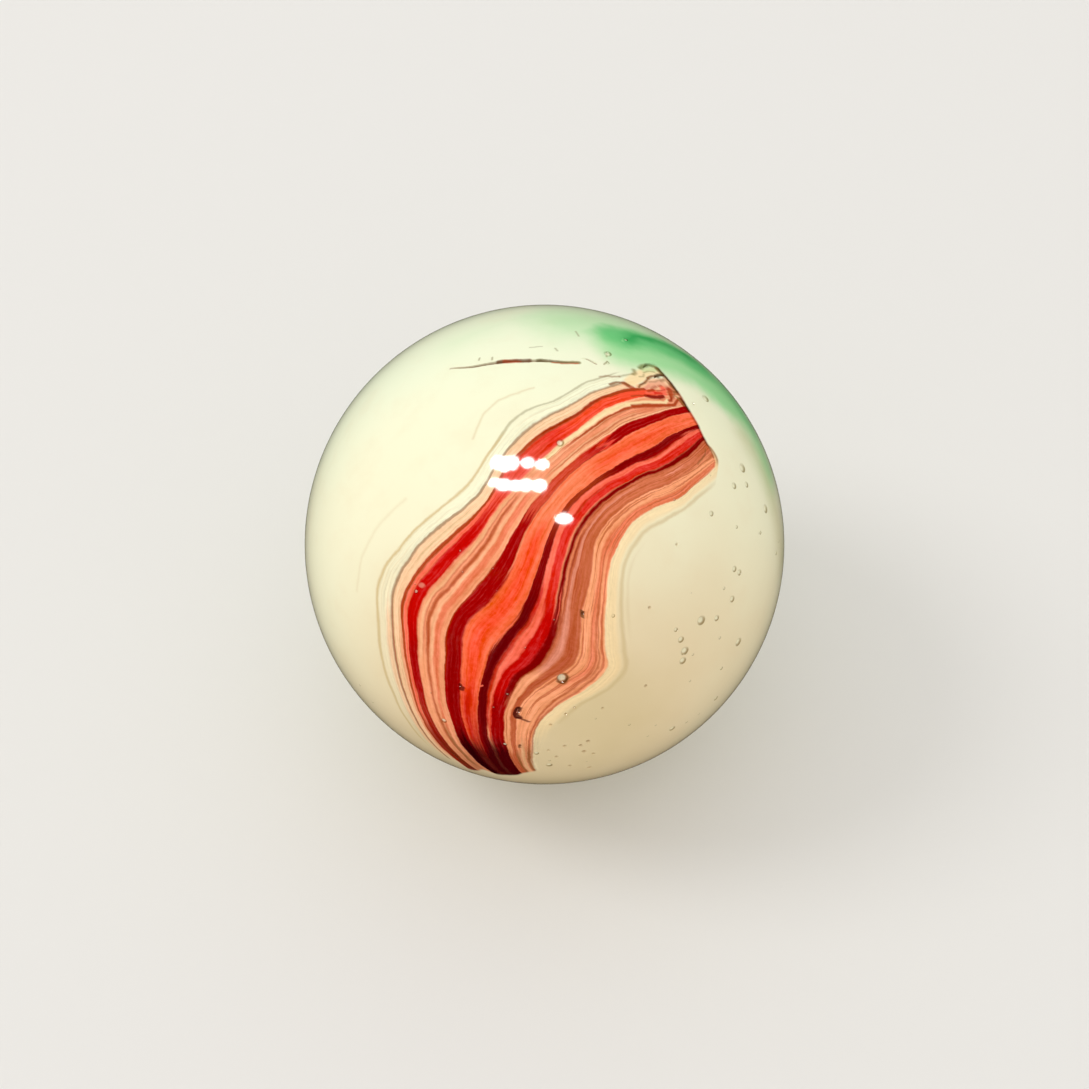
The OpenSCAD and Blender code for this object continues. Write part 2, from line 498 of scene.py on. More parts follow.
@dataclass
class PittedBall:
    """The marble's body: a ball with open pits and bubbles, a cold crease and small folds.

    Args:
        radius: The ball's radius in metres.
        detail: Subdivisions of the ball.
        pits: Open pits, each a round hollow.
        bubbles: Bubbles. The larger ones are open, as shallow hollows, and the glass reads where each is.
        lines: The crease and the folds.
        pit_lift: How far the middle of a pit's cutter lies above the skin, as a share of the pit's size.
        bubble_lift: The same for an open bubble.
        open_size: The size in millimetres above which a bubble is open.
        cutter_detail: Subdivisions of the ball that cuts a pit.
        crease_sink: How far the middle of a crease's cutter lies under the skin, as a share of its radius.
        crease_taper: How bluntly the cutter ends, where 1 is a sine's slope and less is blunter.
        crease_grain: How many uneven places it has to a millimetre.
        crease_rings: Rings along it.
        crease_sides: Sides of each ring.
        rim_angle: Degrees between two faces from which the edge between them is crisp.
        weld: The gap in millimetres below which two points become one.
        fine_bubbles: How many fine bubbles lie in a square millimetre, where they are thickest.
        fine_share: Their share on the side of the ball that has fewest.
        fine_gap: Least distance between two of them, in millimetres.
        fine_size: Their usual size in millimetres.
        fine_range: The smallest and the largest, as shares of the usual size.
        bubbly_side: The place round which they are thickest.
        bubbly_reach: How closely a point has to face that way for the fewest and for the most, up to 1.
        seed: What their places are drawn from.
    """

    radius: float
    detail: int = 7
    pits: tuple[Spot, ...] = (
        Spot(82, 42.5, 0.16), Spot(138, 51, 0.13), Spot(141, 41, 0.14), Spot(143, 37.5, 0.15),
        Spot(141.5, 35.5, 0.16), Spot(148, 37.5, 0.17), Spot(152, 36, 0.14), Spot(156, 43, 0.15),
        Spot(163, 40, 0.18), Spot(147, 44, 0.14), Spot(142, 45, 0.12), Spot(128, 43, 0.12),
        Spot(122, 31, 0.11), Spot(120, 37.5, 0.1), Spot(123, 39.5, 0.11), Spot(6.5, 63.5, 0.13),
        Spot(40, 35.5, 0.12), Spot(67, 29.5, 0.13), Spot(111, 21, 0.13), Spot(116.5, 64, 0.16),
        Spot(121.7, 50.2, 0.24),
    )
    bubbles: tuple[Spot, ...] = (
        Spot(107, 41.5, 0.42), Spot(-4.5, 47, 0.34), Spot(3, 42.5, 0.24), Spot(-5, 43, 0.22),
        Spot(-18.5, 39, 0.32), Spot(19, 37.5, 0.2), Spot(5.5, 33, 0.13), Spot(9, 23.5, 0.22),
        Spot(4, 22.5, 0.22), Spot(-14, 32.5, 0.14), Spot(-35.5, 32, 0.16), Spot(48, 16, 0.34),
        Spot(-41, 7.5, 0.32), Spot(78, 14, 0.32), Spot(88, 13, 0.27), Spot(31, 13.5, 0.22),
        Spot(10, 16.5, 0.24), Spot(67.5, 20, 0.16), Spot(71, 17, 0.24), Spot(-116, 2.5, 0.14),
        Spot(-140, 13.5, 0.2), Spot(177, 19.5, 0.24), Spot(0, 65, 0.3), Spot(19.5, 83, 0.28),
        Spot(10, 86, 0.16), Spot(22, 80.5, 0.14), Spot(131, 68.5, 0.22), Spot(97, 79.5, 0.15),
        Spot(48, 70.5, 0.28), Spot(116, 53, 0.13), Spot(137.5, 54.5, 0.17), Spot(78, 36, 0.13),
        Spot(152, 47, 0.24), Spot(143, 48, 0.18),
    )
    lines: tuple[Line, ...] = (
        Line(((28, 84), (30.5, 86), (33, 89), (35.5, 91.5), (38, 94.5), (42, 98.5), (45.5, 102),
              (48, 106)), 0.15),
        Line(((24.5, 81.5), (25.5, 83.8), (26.5, 85)), 0.07),
        Line(((9.5, 76), (12, 76.6), (14.5, 75.8)), 0.1),
        Line(((9.5, 72.4), (12, 72.8), (14, 72.2)), 0.1),
    )
    pit_lift: float = 1 / 6
    bubble_lift: float = 0.3
    open_size: float = 0.125
    cutter_detail: int = 4
    crease_sink: float = 0.1
    crease_taper: float = 0.6
    crease_grain: float = 1.6
    crease_rings: int = 60
    crease_sides: int = 12
    rim_angle: float = 24
    weld: float = 0.0002
    fine_bubbles: float = 0.24
    fine_share: float = 0.05
    fine_gap: float = 0.3
    fine_size: float = 0.06
    fine_range: Pair = (0.6, 2)
    bubbly_side: Pair = (150, 25)
    bubbly_reach: Pair = (0.2, 0.95)
    seed: int = 5

    def plan(self) -> Object:
        """Draws the plan that the ball's tree reads: a point for each spot and a run for each line.

        Returns:
            An object with the attributes mark and size on its points.
        """
        rows = [(Mark.PIT, spot.turn, spot.tilt, spot.size) for spot in self.pits]
        rows += [(Mark.BUBBLE, spot.turn, spot.tilt, spot.size) for spot in self.bubbles]
        edges: list[tuple[int, int]] = []
        for line in self.lines:
            first = len(rows)
            rows += [(Mark.CREASE, *place, line.width) for place in line.places]
            edges += [(i, i + 1) for i in range(first, len(rows) - 1)]
        mesh = bpy.data.meshes.new("marble_plan")
        mesh.from_pydata([POLE.place(turn, tilt) * self.radius for _, turn, tilt, _ in rows], edges, [])
        for name, kind, values in (
            ("mark", "INT", [mark.value for mark, *_ in rows]),
            ("size", "FLOAT", [size * MM for *_, size in rows]),
        ):
            mesh.attributes.new(name, kind, "POINT").data.foreach_set("value", values)
        return add_object("marble_plan", mesh)

    def sizes(self) -> dict[str, tuple[str, object]]:
        """Gives the sizes that the tree takes.

        Returns:
            Its named inputs, each with its kind of socket and its value.
        """
        return {
            "Radius": ("Float", self.radius),
            "Detail": ("Int", self.detail),
            "Pit Lift": ("Float", self.pit_lift),
            "Bubble Lift": ("Float", self.bubble_lift),
            "Open Bubble Size": ("Float", self.open_size * MM),
            "Weld Distance": ("Float", self.weld * MM),
            "Crease Sink": ("Float", self.crease_sink),
            "Fine Bubble Density": ("Float", self.fine_bubbles / MM**2),
            "Fine Bubble Size": ("Float", self.fine_size * MM),
            "Bubbly Side": ("Vector", tuple(POLE.place(*self.bubbly_side))),
            "Seed": ("Int", self.seed),
        }

    def tree(self, glasses: dict[Zone | None, Material]) -> Tree:
        """Builds the ball's Geometry Nodes tree.

        Args:
            glasses: The material of each zone, and under None that of the rest of the ball.

        Returns:
            The tree.
        """
        inputs = {"Geometry": "Geometry"} | {name: kind for name, (kind, _) in self.sizes().items()}
        wires = Wiring.group("Pitted Ball", inputs, {"Geometry": "Geometry"}, "Geometry")
        wires.tree.is_modifier = True
        entry = wires.entry
        inputs = {"Radius": entry["Radius"], "Subdivisions": entry["Detail"]}
        ball = wires.call("GeometryNodeMeshIcoSphere", inputs)
        carve = wires.node("GeometryNodeMeshBoolean", operation="DIFFERENCE", solver="EXACT")
        wires.feed(carve.inputs["Mesh 1"], ball)
        for cutter in (
            self._cutters(wires, Mark.PIT, entry["Pit Lift"], 0),
            self._cutters(wires, Mark.BUBBLE, entry["Bubble Lift"], entry["Open Bubble Size"]),
            self._crease(wires),
        ):
            wires.feed(carve.inputs["Mesh 2"], cutter)
        inputs = {"Geometry": carve.outputs["Mesh"], "Distance": entry["Weld Distance"]}
        welded = wires.call("GeometryNodeMergeByDistance", inputs)
        body = self._remember_bubbles(wires, ball, welded)
        smooth = wires.call("GeometryNodeSetShadeSmooth", {"Geometry": body, "Shade Smooth": True})
        angle = wires.call("GeometryNodeInputMeshEdgeAngle", {}, "Unsigned Angle")
        rim = wires.math("GREATER_THAN", angle, math.radians(self.rim_angle))
        inputs = {"Geometry": smooth, "Selection": rim, "Shade Smooth": False}
        crisp = wires.call("GeometryNodeSetShadeSmooth", inputs, domain="EDGE")
        real = wires.call("GeometryNodeRealizeInstances", {"Geometry": crisp})
        turn, tilt = POLE.measure(wires, wires.outward())
        for zone, glass in glasses.items():
            inside = zone.select(wires, turn, tilt) if zone else True
            inputs = {"Geometry": real, "Selection": inside, "Material": glass}
            real = wires.call("GeometryNodeSetMaterial", inputs)
        wires.feed(wires.leave["Geometry"], real)
        return wires.tree

    @staticmethod
    def _marked(wires: Wiring, mark: Mark) -> Socket:
        """Picks the part of the plan that carries one mark.

        Args:
            wires: The tree's wiring.
            mark: The mark.

        Returns:
            That part of the plan.
        """
        inputs = {"A_INT": wires.stored("mark", "INT"), "B_INT": mark.value}
        same = wires.call("FunctionNodeCompare", inputs, "Result", data_type="INT", operation="EQUAL")
        inputs = {"Geometry": wires.entry["Geometry"], "Selection": same}
        return wires.call("GeometryNodeSeparateGeometry", inputs, "Selection")

    def _cutters(self, wires: Wiring, mark: Mark, lift: Feed, least: Feed) -> Socket:
        """Sets a small ball at each spot of one mark, standing a little above the skin.

        Args:
            wires: The tree's wiring.
            mark: The mark.
            lift: How far a ball stands above the skin, as a share of its size.
            least: The size above which a spot gets a ball.

        Returns:
            The balls.
        """
        points, size = self._marked(wires, mark), wires.stored("size")
        inputs = {"Geometry": points, "Selection": wires.math("GREATER_THAN", size, least)}
        points = wires.call("GeometryNodeSeparateGeometry", inputs, "Selection")
        inputs = {"Geometry": points, "Offset": wires.scaled(wires.outward(), wires.times(size, lift))}
        raised = wires.call("GeometryNodeSetPosition", inputs)
        cutter = wires.call("GeometryNodeMeshIcoSphere", {"Radius": 0.5, "Subdivisions": self.cutter_detail})
        inputs = {"Points": raised, "Instance": cutter, "Scale": size}
        placed = wires.call("GeometryNodeInstanceOnPoints", inputs)
        return wires.call("GeometryNodeRealizeInstances", {"Geometry": placed})

    def _crease(self, wires: Wiring) -> Socket:
        """Makes the solids that cut the crease and the folds, thin at both ends and a little uneven.

        Args:
            wires: The tree's wiring.

        Returns:
            The solids.
        """
        curve = wires.call("GeometryNodeMeshToCurve", {"Mesh": self._marked(wires, Mark.CREASE)})
        smooth = wires.call("GeometryNodeCurveSplineType", {"Curve": curve}, spline_type="CATMULL_ROM")
        fine = wires.call("GeometryNodeResampleCurve", {"Curve": smooth, "Count": self.crease_rings})
        along = wires.call("GeometryNodeSplineParameter", {}, "Factor")
        bulge = wires.math("MAXIMUM", wires.math("SINE", wires.times(along, math.pi)), 0.02)
        wobble = wires.math("ADD", wires.noise(wires.here(), self.crease_grain / MM, 3), 0.5)
        uneven = wires.times(wires.math("POWER", bulge, self.crease_taper), wobble)
        radius = wires.times(wires.times(wires.stored("size"), 0.5), uneven)
        height = wires.minus(wires.entry["Radius"], wires.times(radius, wires.entry["Crease Sink"]))
        inputs = {"Geometry": fine, "Position": wires.scaled(wires.outward(), height)}
        laid = wires.call("GeometryNodeSetPosition", inputs)
        ring = wires.call("GeometryNodeCurvePrimitiveCircle", {"Radius": 1, "Resolution": self.crease_sides})
        inputs = {"Curve": laid, "Profile Curve": ring, "Scale": radius, "Fill Caps": True}
        return wires.call("GeometryNodeCurveToMesh", inputs)

    def _remember_bubbles(self, wires: Wiring, ball: Socket, body: Socket) -> Socket:
        """Strews the fine bubbles, and lets each face of the body know its nearest bubble.

        Args:
            wires: The tree's wiring.
            ball: The plain ball, on which the fine bubbles are strewn.
            body: The carved body.

        Returns:
            The body, with the attributes bubble_centre and bubble_size on its faces.
        """
        entry = wires.entry
        facing = wires.dot(wires.outward(), entry["Bubbly Side"])
        inputs = {"Mesh": ball, "Density Max": entry["Fine Bubble Density"], "Seed": entry["Seed"],
                  "Density Factor": wires.ramp(facing, *self.bubbly_reach, self.fine_share, 1),
                  "Distance Min": self.fine_gap * MM}
        strew = "GeometryNodeDistributePointsOnFaces"
        spread = wires.call(strew, inputs, "Points", distribute_method="POISSON")
        inputs = {"Min_001": self.fine_range[0], "Max_001": self.fine_range[1], "Seed": entry["Seed"]}
        draw = wires.call("FunctionNodeRandomValue", inputs, "Value_001", data_type="FLOAT")
        inputs = {"Geometry": spread, "Name": "size", "Value": wires.times(draw, entry["Fine Bubble Size"])}
        spread = wires.call("GeometryNodeStoreNamedAttribute", inputs, data_type="FLOAT", domain="POINT")
        join = wires.node("GeometryNodeJoinGeometry")
        points = wires.call("GeometryNodeMeshToPoints", {"Mesh": self._marked(wires, Mark.BUBBLE)})
        wires.feed(join.inputs[0], points)
        wires.feed(join.inputs[0], spread)
        bubbles = join.outputs[0]
        nearest = wires.call("GeometryNodeSampleNearest", {"Geometry": bubbles}, domain="POINT")
        for name, kind, value in (
            ("bubble_centre", "FLOAT_VECTOR", wires.here()), ("bubble_size", "FLOAT", wires.stored("size")),
        ):
            inputs = {"Geometry": bubbles, "Value": value, "Index": nearest}
            found = wires.call("GeometryNodeSampleIndex", inputs, data_type=kind, domain="POINT")
            inputs = {"Geometry": body, "Name": name, "Value": found}
            body = wires.call("GeometryNodeStoreNamedAttribute", inputs, data_type=kind, domain="FACE")
        return body

    def build(self, glasses: dict[Zone | None, Material]) -> Object:
        """Makes the ball's finished mesh.

        Args:
            glasses: The material of each zone, and under None that of the rest of the ball.

        Returns:
            The finished piece, with no modifier left on it.
        """
        plan = self.plan()
        modifier = plan.modifiers.new("Pitted Ball", "NODES")
        modifier.node_group = self.tree(glasses)
        sizes = self.sizes()
        for item in modifier.node_group.interface.items_tree:
            if item.in_out == "INPUT" and item.name in sizes:
                modifier[item.identifier] = sizes[item.name][1]
        mesh = bpy.data.meshes.new_from_object(plan.evaluated_get(bpy.context.evaluated_depsgraph_get()))
        mesh.name = "marble_body"
        body = add_object("marble_body", mesh)
        bpy.data.objects.remove(plan, do_unlink=True)
        triangles = sum(len(face.vertices) - 2 for face in mesh.polygons)
        counts = (triangles, len(self.pits), len(self.bubbles))
        LOG.info("%s: %d triangles, %d pits, %d bubbles", body.name, *counts)
        return body


# ---- Strands and strokes of glass ----


@dataclass(frozen=True)
class Flow:
    """Where a place lies in the ribbon's flow.

    Args:
        wires: The material's wiring.
        zone: The zone that the material covers.
        turn: Its turn, feathered so that strands end raggedly.
        across: Its measure across the ribbon, with the fine waver of drawn glass.
        streaks: Fine streaks that follow the strands, about 0.
        veins: Fine veins, 1 in a vein and 0 beside it.
    """

    wires: Wiring
    zone: Zone
    turn: Socket
    across: Socket
    streaks: Socket
    veins: Socket


@dataclass(frozen=True)
class Strand:
    """A strand of glass that runs along the ribbon.

    Args:
        glass: Its colour.
        across: Where it begins and ends across the ribbon. Whole numbers are the guide lines.
        turns: The turns between which it runs.
        strength: How much of the glass below it covers.
        drift: How far its two edges have moved by its last turn.
        soft: Half the width of its blurred edges, in the same measure.
        fade: Half the length over which it fades at its ends, in degrees.
        veined: Whether it shows only as fine veins.
    """

    glass: Glass
    across: Pair
    turns: Pair = (0, 180)
    strength: float = 1
    drift: Pair = (0, 0)
    soft: float = 0.06
    fade: float = 3
    veined: bool = False

    def lay(self, under: Feed, flow: Flow) -> Socket:
        """Lays the strand over the glass below it.

        Args:
            under: The colour below.
            flow: The place along and across the ribbon.

        Returns:
            The colour with the strand on it.
        """
        wires, zone = flow.wires, flow.zone
        (low, high), (start, end) = self.across, self.turns
        middle, half = (low + high) / 2, (high - low) / 2
        if any(self.drift):
            slope = sum(self.drift) / 2 / (end - start)
            spread = (self.drift[1] - self.drift[0]) / 2 / (end - start)
            middle = wires.fit(flow.turn, slope, middle - slope * start)
            wide = wires.fit(flow.turn, spread, -spread * start)
        off = wires.math("ABSOLUTE", wires.minus(flow.across, middle))
        if any(self.drift):
            off = wires.minus(off, wide)
        cover = wires.ramp(off, half - self.soft, half + self.soft, self.strength, 0)
        if start + self.fade > zone.turns[0] - Zone.MARGIN:
            cover = wires.times(cover, wires.ramp(flow.turn, start - self.fade, start + self.fade))
        if end - self.fade < zone.turns[1] + Zone.MARGIN:
            cover = wires.times(cover, wires.ramp(flow.turn, end - self.fade, end + self.fade, 1, 0))
        if self.veined:
            cover = wires.times(cover, flow.veins)
        return wires.mix(cover, under, self.glass)


@dataclass(frozen=True)
class Stroke:
    """A line or smear of glass drawn through a few places.

    Args:
        glass: Its colour.
        places: The turn and tilt of each place that it passes, or its turn and measure across the ribbon.
        width: Half its width, in degrees.
        soft: How far its edge fades, in degrees.
        strength: How much of the glass below it covers.
    """

    glass: Glass
    places: Places
    width: float
    soft: float
    strength: float

    def reaches(self, zone: Zone, slack: float) -> bool:
        """Tells whether the stroke comes into a zone.

        Args:
            zone: The zone.
            slack: How far something may carry the stroke, in degrees.

        Returns:
            Whether it does.
        """
        far = self.width + self.soft / 2 + slack
        turns = [turn for turn, _ in self.places]
        return zone.meets(min(turns) - far, max(turns) + far)


class Pen:
    """Lays strokes over a colour, on a flat map whose scales make it true in degrees."""

    # Degrees to a unit of turn and of tilt, and to a unit of turn and of measure across the ribbon.
    ON_BALL = (0.96, 1)
    IN_RIBBON = (0.94, 3)

    def __init__(
        self, wires: Wiring, stretch: Tree, zone: Zone, place: tuple[Socket, Socket], scales: Pair,
    ) -> None:
        """Starts on the flat map.

        Args:
            wires: The material's wiring.
            stretch: The group that measures the distance to a stretch.
            zone: The zone that the material covers.
            place: The place's two coordinates.
            scales: What one unit of each measures on the map.
        """
        self.wires, self.group, self.zone, self.scales = wires, stretch, zone, scales
        self.flat = wires.flat(wires.times(place[0], scales[0]), wires.times(place[1], scales[1]))

    @staticmethod
    def stretch_group() -> Tree:
        """Builds the group that measures the distance to one straight stretch of a stroke.

        Returns:
            A group from Place, the stretch's Start and Run, and Share, one over its length squared.
        """
        inputs = {"Place": "Vector", "Start": "Vector", "Run": "Vector", "Share": "Float"}
        wires = Wiring.group("Stretch Distance", inputs, {"Distance": "Float"})
        entry = wires.entry
        ahead = wires.vector("SUBTRACT", entry["Place"], entry["Start"])
        gone = wires.limit(wires.times(wires.dot(ahead, entry["Run"]), entry["Share"]))
        off = wires.vector("SUBTRACT", ahead, wires.scaled(entry["Run"], gone))
        wires.feed(wires.leave["Distance"], wires.vector("LENGTH", off, out="Value"))
        return wires.tree

    def distance(self, places: Places) -> Socket:
        """Measures how far the place is from a stroke.

        Args:
            places: The stroke's places.

        Returns:
            The distance to the stroke's middle line, in degrees.
        """
        nearest = None
        corners = [Vector((x * self.scales[0], y * self.scales[1], 0)) for x, y in places]
        for start, end in zip(corners, corners[1:]):
            run = end - start
            sizes = {"Start": tuple(start), "Run": tuple(run), "Share": 1 / run.length_squared}
            far = self.wires.place(self.group, Place=self.flat, **sizes)["Distance"]
            nearest = far if nearest is None else self.wires.math("MINIMUM", nearest, far)
        return nearest

    def lay(
        self, under: Feed, strokes: tuple[Stroke, ...], ragged: Socket | None = None, slack: float = 1,
    ) -> Socket:
        """Lays the strokes that reach the zone over a colour.

        Args:
            under: The colour below.
            strokes: The strokes, each laid over those before it.
            ragged: An uneven distance to add to each stroke's own, or None.
            slack: How far that distance may carry a stroke, in degrees.

        Returns:
            The colour with the strokes on it.
        """
        colour = under
        for stroke in (stroke for stroke in strokes if stroke.reaches(self.zone, slack)):
            far = self.distance(stroke.places)
            if ragged is not None:
                far = self.wires.math("ADD", far, ragged)
            low, high = stroke.width - stroke.soft / 2, stroke.width + stroke.soft / 2
            colour = self.wires.mix(self.wires.ramp(far, low, high, stroke.strength, 0), colour, stroke.glass)
        return colour


# ---- The ribbon ----


@dataclass(frozen=True)
class Edge:
    """An end of the ribbon: the turn at which it stops, for a run of measures across it.

    Args:
        low: The lowest turn that the edge may have, in degrees.
        span: Degrees from there to the highest.
        stations: Pairs of a measure across the ribbon and a turn.
    """

    low: float
    span: float
    stations: Places

    # The measure at which the edge's curve ends.
    WIDTH = 12

    def draw(self, wires: Wiring, across: Socket) -> Socket:
        """Draws the edge as a curve.

        Args:
            wires: The material's wiring.
            across: The place's measure across the ribbon.

        Returns:
            The turn of the edge at that measure.
        """
        places = [(measure / self.WIDTH, (turn - self.low) / self.span) for measure, turn in self.stations]
        share = wires.curve(wires.math("DIVIDE", across, self.WIDTH), places)
        return wires.fit(share, self.span, self.low)


